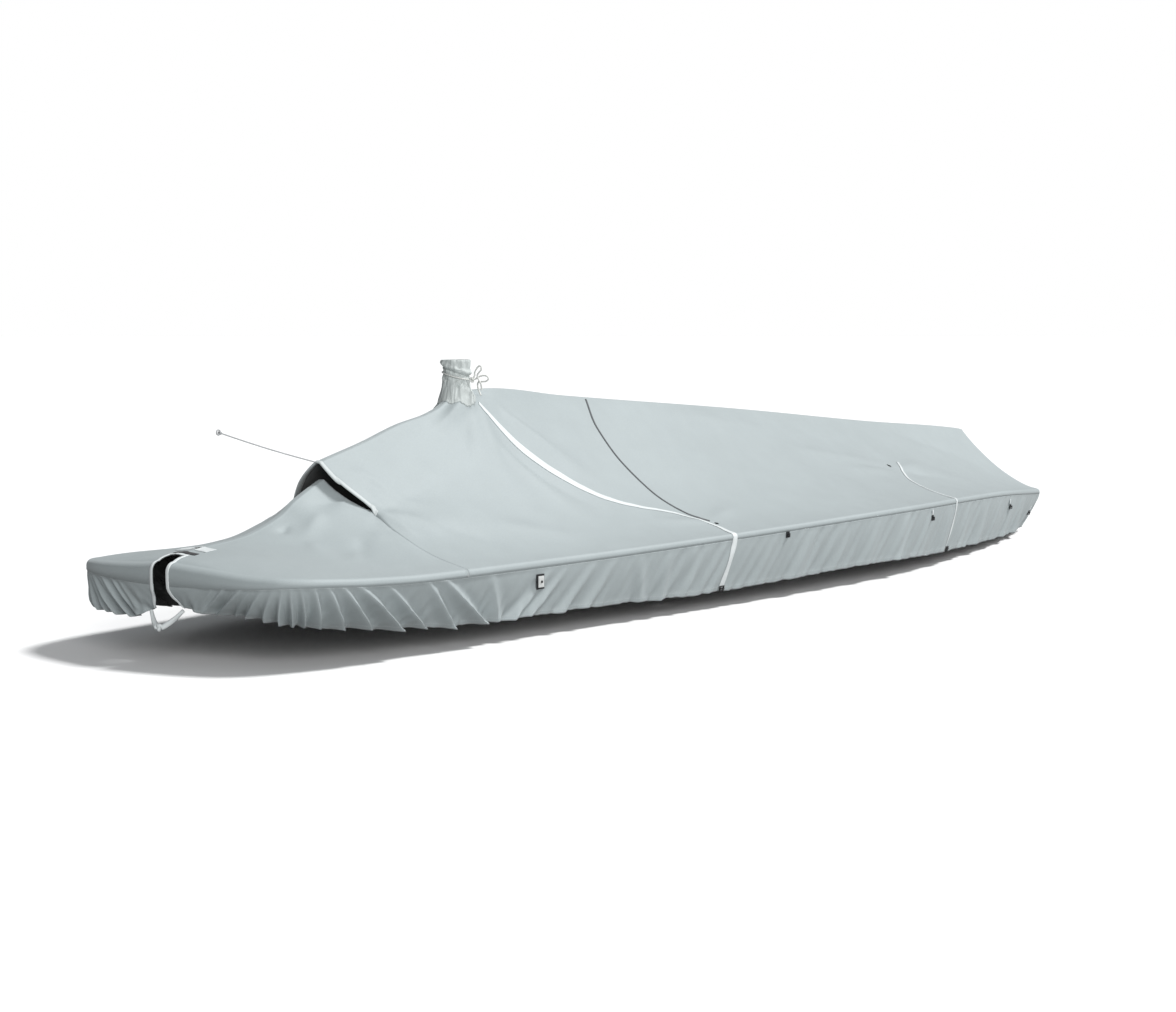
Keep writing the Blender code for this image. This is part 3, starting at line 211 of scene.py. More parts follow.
# folds of the skirts: distance along the rim at the top and at the hem, half width, height
SKIRT_FOLDS = (
    (0.238, 0.125, 0.022, 0.012), (0.281, 0.153, 0.02, 0.014), (0.351, 0.204, 0.024, 0.016),
    (0.39, 0.255, 0.02, 0.01), (0.431, 0.315, 0.026, 0.014), (0.468, 0.386, 0.024, 0.012),
    (0.499, 0.459, 0.022, 0.014), (0.524, 0.53, 0.02, 0.016), (0.558, 0.591, 0.02, 0.014),
    (0.603, 0.655, 0.022, 0.018), (0.653, 0.754, 0.026, 0.018), (0.71, 0.865, 0.028, 0.02),
    (0.777, 1.01, 0.034, 0.02), (0.9, 1.14, 0.03, 0.014), (1.095, 1.27, 0.03, 0.016),
    (1.179, 1.418, 0.034, 0.02), (1.421, 1.502, 0.03, 0.01), (1.757, 1.572, 0.03, 0.016),
    (1.847, 1.662, 0.026, 0.014), (1.997, 1.837, 0.03, 0.014), (2.107, 1.977, 0.028, 0.014),
    (2.257, 2.287, 0.03, 0.01), (2.437, 2.407, 0.03, 0.012), (2.617, 2.557, 0.03, 0.01))
# the folds further aft: where the first and the last meet the hem, how many, slant, half width, heights
AFT_FOLDS = (3.04, 6.34, 13)
AFT_FOLD_SLANT, AFT_FOLD_HALF = 0.070, 0.062
AFT_FOLD_HEIGHTS = (0.008, 0.015, 0.007, 0.012, 0.016, 0.006, 0.013)
FOLD_START, FOLD_POCKET = 0.08, 0.45   # share of the depth where folds start, depth of the troughs beside
CREST_LIFT, CREST_POWER = 1.15, 1.7    # a crest is higher and sharper in the cloth than in the solid
# how far the cloth falls in between the bow folds, how late, the height of a fold that spans it
POCKET = (0.066, 1.35, 0.020)
# the hem turns in below this share of the depth, by how much, up to this distance along the rim
HEM_CURL = (0.80, 0.020, 1.35)
GATHER, BOW_GATHER = 0.0008, 0.0014   # height of the fine gathers, and what the bow adds to it
STREAK, SMALL_STREAK = 0.0055, 0.0030
HEM_LAYER, HEM_FROM = 0.0012, 0.90    # the turned-up hem is thicker below this share of the depth

# broad folds of the top: start aft, start out, end aft, end out, half width, height (out is to either side)
BROAD_FOLDS = (
    (1.68, 0.06, 2.25, 0.42, 0.07, 0.012), (1.56, 0.08, 1.36, 0.46, 0.065, 0.009),
    (0.9, 0.29, 1.55, 0.48, 0.075, 0.012), (0.84, 0.3, 0.78, 0.57, 0.06, 0.009),
    (4.5, 0.34, 3.2, 0.3, 0.09, 0.011), (4.7, 0.36, 5.3, 0.56, 0.09, 0.01))

# creases of the port side: start aft, start out, end aft, end out, half width, height (negative is a trough)
CREASES = (
    (1.64, 0.055, 1.5, 0.13, 0.01, 0.005), (1.65, 0.075, 1.42, 0.11, 0.012, -0.005),
    (1.62, 0.06, 1.33, 0.06, 0.011, 0.0045), (1.6, 0.075, 1.4, 0.18, 0.013, -0.0045),
    (1.66, 0.09, 1.58, 0.26, 0.014, 0.005), (1.78, 0.08, 2.14, 0.37, 0.022, 0.009),
    (1.67, 0.15, 1.97, 0.49, 0.022, -0.008), (1.64, 0.17, 1.82, 0.44, 0.018, 0.006),
    (0.872, 0.19, 0.945, 0.4, 0.016, 0.008), (0.88, 0.195, 1.1, 0.42, 0.018, 0.006),
    (0.878, 0.2, 0.77, 0.31, 0.012, -0.007), (0.87, 0.195, 0.735, 0.365, 0.014, 0.005),
    (0.905, 0.07, 1.06, 0.24, 0.012, 0.0035), (0.915, 0.11, 1.04, 0.29, 0.012, -0.0035),
    (0.91, 0.15, 1.18, 0.33, 0.014, 0.004), (0.9, 0.17, 0.95, 0.27, 0.012, -0.004),
    (0.722, 0.28, 0.58, 0.38, 0.018, -0.007), (0.714, 0.285, 0.49, 0.42, 0.014, 0.004),
    (0.813, 0.094, 0.665, 0.035, 0.026, -0.007), (0.7, 0.1, 0.52, 0.15, 0.022, 0.005),
    (0.566, 0.054, 0.5, 0.085, 0.014, -0.006), (0.56, 0.18, 0.46, 0.33, 0.02, 0.003),
    (4.5, 0.395, 3.9, 0.3, 0.026, -0.006), (4.48, 0.38, 3.6, 0.24, 0.03, 0.006),
    (4.44, 0.42, 3.8, 0.43, 0.024, 0.0045), (4.55, 0.4, 5.0, 0.33, 0.024, 0.005),
    (4.56, 0.42, 4.95, 0.5, 0.022, -0.004), (2.42, 0.64, 2.1, 0.56, 0.018, 0.004),
    (2.5, 0.64, 2.8, 0.56, 0.018, 0.0035), (1.8, 0.04, 2.7, 0.11, 0.04, -0.004),
    (3.1, 0.06, 4.2, 0.18, 0.05, 0.004), (5.1, 0.08, 5.9, 0.24, 0.04, -0.004),
    (1.3, 0.43, 1.75, 0.6, 0.03, 0.004), (1.05, 0.35, 1.3, 0.59, 0.026, -0.0035))
# the same for the starboard side, which is laid a little differently
FAR_CREASES = (
    (1.65, 0.06, 1.46, 0.15, 0.011, 0.005), (1.62, 0.075, 1.4, 0.07, 0.012, -0.0045),
    (1.68, 0.08, 1.66, 0.28, 0.014, 0.0055), (1.74, 0.06, 2.2, 0.38, 0.022, 0.007),
    (1.68, 0.15, 2.05, 0.5, 0.022, -0.006), (0.874, 0.19, 0.99, 0.42, 0.016, 0.007),
    (0.878, 0.2, 0.76, 0.33, 0.013, -0.006), (0.905, 0.08, 1.1, 0.26, 0.013, 0.004),
    (0.91, 0.14, 1.08, 0.36, 0.013, -0.0035), (0.7, 0.26, 0.52, 0.4, 0.018, -0.006),
    (0.64, 0.08, 0.48, 0.16, 0.022, 0.0045), (2.44, 0.64, 2.14, 0.54, 0.018, 0.004),
    (2.5, 0.64, 2.86, 0.54, 0.018, -0.004), (3.0, 0.12, 4.0, 0.26, 0.044, 0.0055),
    (3.8, 0.26, 4.7, 0.42, 0.036, -0.005), (4.7, 0.1, 5.7, 0.3, 0.04, 0.005),
    (1.2, 0.38, 1.6, 0.6, 0.028, 0.0045), (5.0, 0.42, 5.6, 0.5, 0.03, 0.004))
# soft ripples of the top: share of their height, pace, lean, phase, pace of their swell
RIPPLES = ((1.0, 19.0, 0.35, 0.4, 2.3), (0.8, 33.0, -0.25, 1.9, 3.1), (0.6, 51.0, 0.55, 4.0, 4.7),
           (0.5, 71.0, 0.1, 2.7, 5.9))


@dataclass(frozen=True)
class Form:
    """The surface that every sheet of the cover lies on, the same as the solids have."""

    ripple: float = 0.00055
    slow_sag: float = 0.0016
    far_turn: float = 2.1
    crease_gain: float = 3.2
    crease_power: float = 1.5
    seam_lift: float = 0.0016
    seam_half: float = 0.0095

    def half_breadth(self, aft: Grid | float) -> Grid:
        """Half breadth of the rim; the square root keeps the bow blunt."""
        return smooth(np.sqrt(RIM[:, 0] / LENGTH), RIM[:, 1], np.sqrt(np.clip(aft, 0, None) / LENGTH))

    def sheer(self, aft: Grid | float) -> Grid:
        """Height of the rim."""
        return smooth(RIM[:, 0], RIM[:, 2], aft)

    def roll(self, aft: Grid | float) -> Grid:
        """Radius of the turn at the rim."""
        return smooth(ROLL[:, 0], ROLL[:, 1], aft)

    def along(self, aft: Grid, out: Grid, table: tuple[Row, ...], power: float) -> Grid:
        """Height that a table of folds adds.

        Args:
            aft: Distances from the bow edge.
            out: Distances from the centreline, all positive.
            table: The folds.
            power: 2 for round folds, less for sharper ones.

        Returns:
            The height at each place.
        """
        total = np.zeros(np.broadcast(aft, out).shape)
        for start_aft, start_out, end_aft, end_out, half, high in table:
            run_aft, run_out = end_aft - start_aft, end_out - start_out
            run = math.hypot(run_aft, run_out)
            along = ((aft - start_aft) * run_aft + (out - start_out) * run_out) / run ** 2
            beside = ((aft - start_aft) * run_out - (out - start_out) * run_aft) / run
            wide = half * (1 + 0.8 * np.clip(along, 0, 1)) if power < 2 else half
            taper = np.clip(along, 0, 1) ** 0.5 * (1 - ramp(along)) * 1.6
            total = total + high * taper * np.exp(-np.abs(beside / wide) ** power)
        return total

    def drape(self, aft: Grid | float, out: Grid | float) -> Grid:
        """Height of the cloth from the ridge to the rim, without the hood and the fine creases.

        Args:
            aft: Distances from the bow edge.
            out: Distances from the centreline.

        Returns:
            The heights.
        """
        aft, out = np.asarray(aft, float), np.abs(np.asarray(out, float))
        reach = self.half_breadth(aft)
        share = np.clip((out - RIDGE_HALF) / np.maximum(reach - RIDGE_HALF, 0.01), 0, 1)
        dome = smooth(CROWN[:, 0], CROWN[:, 1], aft)
        rise = smooth(SPINE[:, 0], SPINE[:, 1], aft) - self.sheer(aft) - dome
        hang = (1 - share) ** smooth(SAG[:, 0], SAG[:, 1], aft)
        near = np.exp(-((aft - COLLAR_AFT) ** 2 + out ** 2) / PEAK_REACH ** 2)
        peak = PEAK_LIFT * near * ramp((out - RIDGE_HALF) / 0.05)
        folds = self.along(aft, out, BROAD_FOLDS, 2) * ramp((out - RIDGE_HALF) / 0.06)
        return self.sheer(aft) + dome * (1 - share ** 2) + rise * hang + folds + peak

    def fine(self, aft: Grid, out: Grid) -> Grid:
        """Creases, soft ripples between ridge and rim, and the raised seam on the ridge.

        Args:
            aft: Distances from the bow edge.
            out: Distances from the centreline.

        Returns:
            What it adds to the heights.
        """
        port, wide = np.asarray(out) < 0, np.abs(np.asarray(out, float))
        aft = np.asarray(aft, float)
        near, far = (self.along(aft, wide, table, self.crease_power) for table in (CREASES, FAR_CREASES))
        edge = ramp((self.half_breadth(aft) - 0.02 - wide) / 0.05)
        creases = np.where(port, near, far) * self.crease_gain * edge * ramp((wide - 0.01) / 0.03)
        turn = np.where(port, 0.0, self.far_turn)
        wave = sum(size * np.sin(pace * (aft + lean * wide) + phase + turn)
                   * (0.55 + 0.45 * np.sin(slow * aft + phase)) for size, pace, lean, phase, slow in RIPPLES)
        sag = self.slow_sag * np.sin(7.3 * aft + 1.1 + turn) * np.sin(11.0 * wide + 0.6)
        seam = self.seam_lift * np.exp(-((wide - 0.004) / self.seam_half) ** 4)
        return creases + (self.ripple * wave + sag) * ramp((wide - 0.03) / 0.12) * edge + seam

    def slit(self, out: Grid | float) -> Grid:
        """The line of the slit, which bends aft to its ends and then runs straight to the rim."""
        return VENT_AFT + VENT_SWEEP * np.clip(np.abs(out) / VENT_HALF, 0, 1) ** 2

    def hood(self, aft: Grid | float, out: Grid | float) -> Grid:
        """Extra height of the hood aft of the slit."""
        across = np.clip(1 - (np.asarray(out) / (VENT_HALF + 0.02)) ** 2, 0, 1) ** 0.75
        along = np.clip(1 - (np.asarray(aft) - self.slit(out)) / VENT_RUN, 0, 1) ** 1.3
        return VENT_LIFT * across * along * (1 + VENT_LEAN * np.asarray(out) / VENT_HALF)

    def lip(self, out: Grid | float) -> Grid:
        """1 at the middle of the vent, 0 at the ends of its slit."""
        return np.clip(1 - (np.asarray(out) / (VENT_HALF - 0.01)) ** 2, 0, 1) ** 1.5


FORM = Form()


def place(aft: float, out: float, high: float) -> Vector:
    """A place on the cover in the frame of the part."""
    return Vector((float(aft) - COLLAR_AFT, float(out), float(high) - DATUM_DROP))


# openings cut through the cloth: centre, half sizes, number of sides
BOW_SLOT = (place(0.185, 0.012, 0.1), (0.014, 0.019), 4)
BOW_NOTCH = (place(NOTCH_AFT - 0.0925, 0, 0), (0.0925, NOTCH_HALF), 4)
COLLAR_HOLE = (Vector(), (0.050, 0.050), 48)
TOP_HOLES = {
    Side.PORT: [(place(2.462, -0.674, 0.05), (0.009, 0.009), 20),
                (place(4.520, -0.364, 0.15), (0.011, 0.011), 20)],
    Side.STARBOARD: [(place(2.462, 0.674, 0.05), (0.009, 0.009), 20)]}


class RimLine:
    """The rim of one side in plan, from the bow to the stern centre, with its outward directions."""

    def __init__(self) -> None:
        """Lay the line out."""
        side_aft = (LENGTH - STERN_CORNER) * np.linspace(0, 1, 2400) ** 2
        side_out = FORM.half_breadth(side_aft)
        turn = np.linspace(0, math.pi / 2, 60)[1:]
        corner_aft = side_aft[-1] + STERN_CORNER * np.sin(turn)
        corner_out = side_out[-1] - STERN_CORNER + STERN_CORNER * np.cos(turn)
        stern_out = np.linspace(corner_out[-1], 0, 200)[1:]
        stern_aft = LENGTH - STERN_HOLLOW * np.cos(math.pi / 2 * stern_out / corner_out[-1]) ** 2
        self.aft = np.concatenate((side_aft, corner_aft, stern_aft))
        self.out = np.concatenate((side_out, corner_out, stern_out))
        self.run = np.concatenate(([0], np.cumsum(np.hypot(np.diff(self.aft), np.diff(self.out)))))
        self.corner_run = float(self.run[len(side_aft) - 1])
        along_aft, along_out = np.gradient(self.aft, self.run), np.gradient(self.out, self.run)
        size = np.hypot(along_aft, along_out)
        self.normal_aft, self.normal_out = -along_out / size, along_aft / size
        self.inner_aft = self.aft - self.normal_aft * FORM.roll(self.aft)
        self.inner_out = self.out - self.normal_out * FORM.roll(self.aft)
        self.edge_heights = np.where(self.run <= self.corner_run, FORM.sheer(self.aft),
                                     FORM.drape(self.aft, self.out))

    def at(self, run: Grid | float) -> tuple[Grid, Grid, Grid, Grid]:
        """Plan place and outward direction at distances along the rim."""
        return tuple(np.interp(run, self.run, column)
                     for column in (self.aft, self.out, self.normal_aft, self.normal_out))

    def spot(self, run: float) -> tuple[float, ...]:
        """The same at one distance, as plain numbers."""
        return tuple(float(part) for part in self.at(run))

    def height(self, run: Grid | float) -> Grid:
        """Height of the top's edge, also across the stern."""
        return np.interp(run, self.run, self.edge_heights)

    def seam(self, run: Grid | float) -> Grid:
        """Height of the skirt seam."""
        return self.height(run) - FORM.roll(self.at(run)[0]) - LAP

    def inner_half(self, aft: float) -> float:
        """Half breadth of the top, inside the rolled edge."""
        sides = slice(0, np.searchsorted(self.run, self.corner_run + STERN_CORNER * math.pi / 2))
        return float(np.interp(aft, self.inner_aft[sides], self.inner_out[sides]))

    def nearest(self, aft: float, out: float) -> float:
        """Distance along the rim of the inner-edge point closest to a plan place."""
        row = int(np.argmin((self.inner_aft - aft) ** 2 + (self.inner_out - out) ** 2))
        ahead = (aft - self.inner_aft[row]) * self.normal_out[row]
        return float(self.run[row] + ahead - (out - self.inner_out[row]) * self.normal_aft[row])

    def inner_nose(self, out: float) -> float:
        """How far aft the inner edge lies at a distance from the centreline, across the bow."""
        return float(np.interp(out, self.inner_out[:600], self.inner_aft[:600]))


RIM_LINE = RimLine()


# ---- finishes ----
def add_node(tree: Tree, kind: str, inputs: dict, **settings: str) -> bpy.types.Node:
    """Add a shader node.

    Args:
        tree: The nodes of the material or the world.
        kind: The node's type, without its prefix.
        inputs: For each input its value, or the socket that is linked to it.
        settings: The node's own settings.

    Returns:
        The node.
    """
    node = tree.nodes.new("ShaderNode" + kind)
    for name, value in settings.items():
        setattr(node, name, value)
    for name, value in inputs.items():
        if isinstance(value, bpy.types.NodeSocket):
            tree.links.new(value, node.inputs[name])
        else:
            node.inputs[name].default_value = value
    return node


@dataclass(frozen=True)
class Finish:
    """A material: its colour, roughness and the look that its class of surface has."""

    name: str
    colour: tuple[float, float, float]
    roughness: float

    def start(self) -> tuple[bpy.types.Material, Tree, bpy.types.Node]:
        """Start the material with its colour and roughness.

        Returns:
            The material, its nodes and its shader.
        """
        material = bpy.data.materials.new(self.name)
        material.use_nodes = True
        tree = material.node_tree
        shader = tree.nodes["Principled BSDF"]
        shader.inputs["Base Color"].default_value = (*self.colour, 1.0)
        shader.inputs["Roughness"].default_value = self.roughness
        return material, tree, shader

    def tint(self, tree: Tree, shader: bpy.types.Node, vector: bpy.types.NodeSocket,
             steps: tuple[tuple[float, float, float], ...]) -> None:
        """Vary the colour with soft noises.

        Args:
            tree: The material's nodes.
            shader: Its shader.
            vector: The coordinates.
            steps: For each noise its scale, its detail and how much it darkens.
        """
        colour = (*self.colour, 1.0)
        for scale, detail, amount in steps:
            noise = add_node(tree, "TexNoise", {"Scale": scale, "Detail": detail, "Vector": vector})
            spread = add_node(tree, "MapRange", {"From Min": 0.3, "From Max": 0.7, "To Min": 1.0 - amount,
                                                 "To Max": 1.0, "Value": noise.outputs["Fac"]})
            mix = add_node(tree, "Mix", {"Factor": 1.0, "A": colour, "B": spread.outputs["Result"]},
                           data_type="RGBA", blend_type="MULTIPLY")
            colour = mix.outputs["Result"]
        tree.links.new(colour, shader.inputs["Base Color"])


@dataclass(frozen=True)
class WovenFinish(Finish):
    """Cloth or tape: threads both ways, laid along the piece's own UV map in metres."""

    pitch: float = 0.0012
    depth: float = 0.00012
    mottle: float = 0.05
    grime: float = 0.04
    sheen: float = 0.12
    crumple: float = 0.0012

    def build(self) -> bpy.types.Material:
        """Make the material.

        Returns:
            The new material.
        """
        material, tree, shader = self.start()
        shader.inputs["Sheen Weight"].default_value = self.sheen
        shader.inputs["Sheen Roughness"].default_value = 0.5
        at = add_node(tree, "TexCoord", {}).outputs
        self.tint(tree, shader, at["Object"],
                  ((1.3, 3.0, self.mottle), (9.0, 5.0, self.grime), (160.0, 2.0, 0.05)))
        scale = math.tau / (20 * self.pitch)
        weft, warp = (add_node(tree, "TexWave", {"Scale": scale, "Vector": at["UV"]}, wave_type="BANDS",
                               bands_direction=direction, wave_profile="SIN") for direction in ("X", "Y"))
        threads = add_node(tree, "Math", {0: weft.outputs["Fac"], 1: warp.outputs["Fac"]},
                           operation="MAXIMUM")
        weave = add_node(tree, "Bump", {"Strength": 0.6, "Distance": self.depth,
                                        "Height": threads.outputs["Value"]})
        noise = add_node(tree, "TexNoise", {"Scale": 38.0, "Detail": 4.0, "Vector": at["Object"]})
        soft = add_node(tree, "Bump", {"Strength": 0.35, "Distance": self.crumple,
                                       "Height": noise.outputs["Fac"], "Normal": weave.outputs["Normal"]})
        tree.links.new(soft.outputs["Normal"], shader.inputs["Normal"])
        return material


@dataclass(frozen=True)
class BraidFinish(Finish):
    """Line: a fine braid laid round the cord along its UV map in metres."""

    pitch: float = 0.0035
    depth: float = 0.0005

    def build(self) -> bpy.types.Material:
        """Make the material.

        Returns:
            The new material.
        """
        material, tree, shader = self.start()
        at = add_node(tree, "TexCoord", {}).outputs
        self.tint(tree, shader, at["Object"], ((60.0, 3.0, 0.15), (420.0, 2.0, 0.25)))
        turned = add_node(tree, "Mapping", {"Rotation": (0.0, 0.0, math.radians(35)), "Vector": at["UV"]})
        wave = add_node(tree, "TexWave", {"Scale": math.tau / (20 * self.pitch),
                                          "Vector": turned.outputs["Vector"]}, wave_type="BANDS")
        bump = add_node(tree, "Bump", {"Strength": 0.7, "Distance": self.depth,
                                       "Height": wave.outputs["Fac"]})
        tree.links.new(bump.outputs["Normal"], shader.inputs["Normal"])
        return material


@dataclass(frozen=True)
class MouldedFinish(Finish):
    """Moulded plastic with a fine grain and dulled edges."""

    grain: float = 0.00015

    def build(self) -> bpy.types.Material:
        """Make the material.

        Returns:
            The new material.
        """
        material, tree, shader = self.start()
        at = add_node(tree, "TexCoord", {}).outputs["Object"]
        self.tint(tree, shader, at, ((30.0, 4.0, 0.25), (300.0, 2.0, 0.15)))
        noise = add_node(tree, "TexNoise", {"Scale": 900.0, "Vector": at})
        bump = add_node(tree, "Bump", {"Strength": 0.5, "Distance": self.grain,
                                       "Height": noise.outputs["Fac"]})
        tree.links.new(bump.outputs["Normal"], shader.inputs["Normal"])
        return material


@dataclass(frozen=True)
class PlainFinish(Finish):
    """The floor: pale to look at, and duller in the light that it throws back."""

    thrown: float = 0.32

    def build(self) -> bpy.types.Material:
        """Make the material.

        Returns:
            The new material.
        """
        material, tree, shader = self.start()
        path = add_node(tree, "LightPath", {})
        mix = add_node(tree, "Mix", {"Factor": path.outputs["Is Camera Ray"], "B": (*self.colour, 1.0),
                                     "A": (self.thrown, self.thrown, self.thrown, 1.0)}, data_type="RGBA")
        tree.links.new(mix.outputs["Result"], shader.inputs["Base Color"])
        return material


COVER = WovenFinish("cover_cloth", (0.355, 0.400, 0.408), 0.62)
# The cloth's inner face is near-black: painted shade for the dark inside of the closed cover, seen through
# the vent, the openings and under the hems.
PAINTED_SHADE_INSIDE = WovenFinish("cover_cloth_inside", (0.10, 0.105, 0.105), 0.85)
# The collar's cloth is painted lighter than the cover's cloth: painted light, so that its upright sides,
# which the lamps leave in shade, read as bright as the lit top of the cover.
PAINTED_LIGHT_SLEEVE = WovenFinish("collar_cloth", (0.53, 0.57, 0.56), 0.70)
TAPE = WovenFinish("white_tape", (0.70, 0.74, 0.745), 0.60, pitch=0.0016, depth=0.0002, mottle=0.04,
                   grime=0.08)
BINDING = WovenFinish("light_binding", (0.52, 0.56, 0.56), 0.62, pitch=0.0014)
DARK = BraidFinish("dark_cord", (0.10, 0.11, 0.115), 0.6)
LINE = BraidFinish("light_line", (0.78, 0.79, 0.76), 0.7)
THIN_LINE = BraidFinish("grey_line", (0.46, 0.47, 0.48), 0.7)
BLACK = MouldedFinish("black_plastic", (0.02, 0.02, 0.022), 0.4)
PALE = MouldedFinish("pale_plastic", (0.70, 0.72, 0.71), 0.45)
THREAD = MouldedFinish("pale_thread", (0.66, 0.69, 0.69), 0.7, grain=0.00005)
WEBBING = WovenFinish("black_webbing", (0.022, 0.022, 0.024), 0.7, pitch=0.0018, depth=0.0003)
FLOOR = PlainFinish("floor", (0.95, 0.95, 0.95), 0.9)
MADE: dict[str, bpy.types.Material] = {}


def material_of(finish: Finish) -> bpy.types.Material:
    """The finish's material, made once."""
    if finish.name not in MADE:
        MADE[finish.name] = finish.build()
    return MADE[finish.name]


# ---- making meshes ----
def link_mesh(name: str, points: Grid | list, faces: list, uvs: Grid | None, finish: Finish,
              sharp: float = 50.0) -> Piece:
    """A mesh object that is smooth apart from its sharp edges.

    Args:
        name: The piece's name.
        points: Its vertices.
        faces: Its faces.
        uvs: A UV place for each vertex, or None.
        finish: Its finish.
        sharp: Angle past which an edge stays sharp, in degrees.

    Returns:
        The new object.
    """
    mesh = bpy.data.meshes.new(name)
    mesh.from_pydata([tuple(map(float, point)) for point in points], [], faces)
    if uvs is not None:
        layer = mesh.uv_layers.new(name="UVMap")
        corners = np.empty(len(mesh.loops), dtype=np.int64)
        mesh.loops.foreach_get("vertex_index", corners)
        layer.data.foreach_set("uv", np.asarray(uvs, float)[corners].ravel())
    mesh.shade_smooth()
    mesh.set_sharp_from_angle(angle=math.radians(sharp))
    piece = bpy.data.objects.new(name, mesh)
    bpy.context.scene.collection.objects.link(piece)
    mesh.materials.append(material_of(finish))
    return piece


def grid_faces(rows: int, columns: int, flip: bool = False, closed: bool = False) -> list[tuple[int, ...]]:
    """Faces of a grid of points."""
    faces = []
    for row in range(rows - 1):
        for column in range(columns if closed else columns - 1):
            following = (column + 1) % columns
            quad = (row * columns + column, row * columns + following,
                    (row + 1) * columns + following, (row + 1) * columns + column)
            faces.append(quad[::-1] if flip else quad)
    return faces


def only(piece: Piece) -> None:
    """Select one object alone and make it active."""
    for other in bpy.context.view_layer.objects:
        if other.select_get():
            other.select_set(False)
    piece.select_set(True)
    bpy.context.view_layer.objects.active = piece


def apply_all(piece: Piece) -> None:
    """Apply every modifier of a piece."""
    only(piece)
    for modifier in list(piece.modifiers):
        bpy.ops.object.modifier_apply(modifier=modifier.name)


def thicken(piece: Piece, thickness: float, outwards: bool = False,
            inside: Finish | None = None) -> Piece:
    """Give a sheet its thickness, with another finish on its inner face if there is one."""
    solid = piece.modifiers.new("Thickness", "SOLIDIFY")
    solid.thickness = thickness
    solid.offset = 1.0 if outwards else -1.0
    if inside is not None:
        piece.data.materials.append(material_of(inside))
        solid.material_offset = 1
    apply_all(piece)
    return piece


def sheet_mesh(name: str, grid: Grid, finish: Finish, thickness: float, flip: bool = False,
               outwards: bool = False, closed: bool = False, inside: Finish | None = None) -> Piece:
    """A sheet through a grid of places, with a UV map in metres.

    Args:
        name: The piece's name.
        grid: Rows of places on its face.
        finish: Its finish.
        thickness: Its thickness.
        flip: True turns its face over.
        outwards: True adds the thickness on the outer side.
        closed: True for a sleeve.
        inside: Finish of the inner face.

    Returns:
        The sheet.
    """
    rows, columns = grid.shape[:2]
    across, along = run_along(grid[rows // 2]), run_along(grid.mean(axis=1))
    uvs = np.stack(np.meshgrid(across, along), axis=-1).reshape(-1, 2)
    piece = link_mesh(name, grid.reshape(-1, 3), grid_faces(rows, columns, flip, closed), uvs, finish)
    return thicken(piece, thickness, outwards, inside)


def tube_mesh(name: str, route: Grid, diameter: float, finish: Finish, sides: int = 12, closed: bool = False,
              strands: int = 3, lay: float = 0.014, relief: float = 0.10) -> Piece:
    """A twisted line along a route.

    Args:
        name: The piece's name.
        route: Places along its middle.
        diameter: Across its strands.
        finish: Its finish.
        sides: Facets round it.
        closed: True for a ring.
        strands: Number of strands that are laid up.
        lay: Length in which a strand goes round once.
        relief: Depth of the grooves as a share of the radius.

    Returns:
        The new object.
    """
    count = len(route)
    points, uvs, across, run = [], [], None, 0.0
    for index, point in enumerate(route):
        before = route[index - 1] if index or closed else point
        after = route[(index + 1) % count] if index < count - 1 or closed else point
        along = Vector(after - before).normalized()
        across = along.orthogonal().normalized() if across is None else across
        across = (across - along * across.dot(along)).normalized()
        other = along.cross(across)
        run += float(np.linalg.norm(point - route[index - 1])) if index else 0.0
        for side in range(sides):
            turn = math.tau * side / sides
            twist = strands * turn - math.tau * run / lay * strands / 3
            reach = diameter / 2 * (1 - relief * (0.5 - 0.5 * math.cos(twist)))
            points.append(Vector(point) + (across * math.cos(turn) + other * math.sin(turn)) * reach)
            uvs.append((turn * diameter / 2, run))
    faces = grid_faces(count, sides, closed=True)
    if closed:
        last = (count - 1) * sides
        faces += [(last + side, last + (side + 1) % sides, (side + 1) % sides, side) for side in range(sides)]
    else:
        faces.append(tuple(range(sides))[::-1])
        faces.append(tuple((count - 1) * sides + side for side in range(sides)))
    return link_mesh(name, points, faces, np.array(uvs), finish, sharp=70.0)


def ride_on(piece: Piece, slot: str, *nodes: str) -> Piece:
    """Put a piece on the one body, and hide the nodes that it stands for."""
    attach(piece, "root")
    if nodes:
        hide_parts(*nodes)
    LOG.info("%s: %d faces", piece.name, len(piece.data.polygons))
    return piece


def cut_upright(piece: Piece, holes: list[tuple[Vector, Row, int]]) -> None:
    """Cut upright openings through a sheet.

    Args:
        piece: The sheet.
        holes: For each its centre, half sizes and number of sides.
    """
    cutters = []
    for centre, half, sides in holes:
        turn, reach = (math.pi / 4, math.cos(math.pi / 4)) if sides == 4 else (0.0, 1.0)
        bpy.ops.object.select_all(action="DESELECT")
        bpy.ops.mesh.primitive_cylinder_add(vertices=sides, radius=1.0 / reach, depth=0.5,
                                            location=centre, rotation=(0, 0, turn))
        cutter = bpy.context.active_object
        bpy.ops.object.transform_apply(location=False, rotation=True, scale=False)
        cutter.scale = (half[0], half[1], 1.0)
        # The cut walls of each opening take the near-black inner finish: painted shade.
        cutter.data.materials.append(material_of(PAINTED_SHADE_INSIDE))
        opening = piece.modifiers.new("Opening", "BOOLEAN")
        opening.operation = "DIFFERENCE"
        opening.object = cutter
        cutters.append(cutter)
    apply_all(piece)
    for cutter in cutters:
        bpy.data.objects.remove(cutter, do_unlink=True)


def joined(name: str, pieces: list[Piece]) -> Piece:
    """Join pieces into the first one."""
    only(pieces[0])
    for piece in pieces[1:]:
        piece.select_set(True)
    bpy.ops.object.join()
    pieces[0].name = name
    return pieces[0]


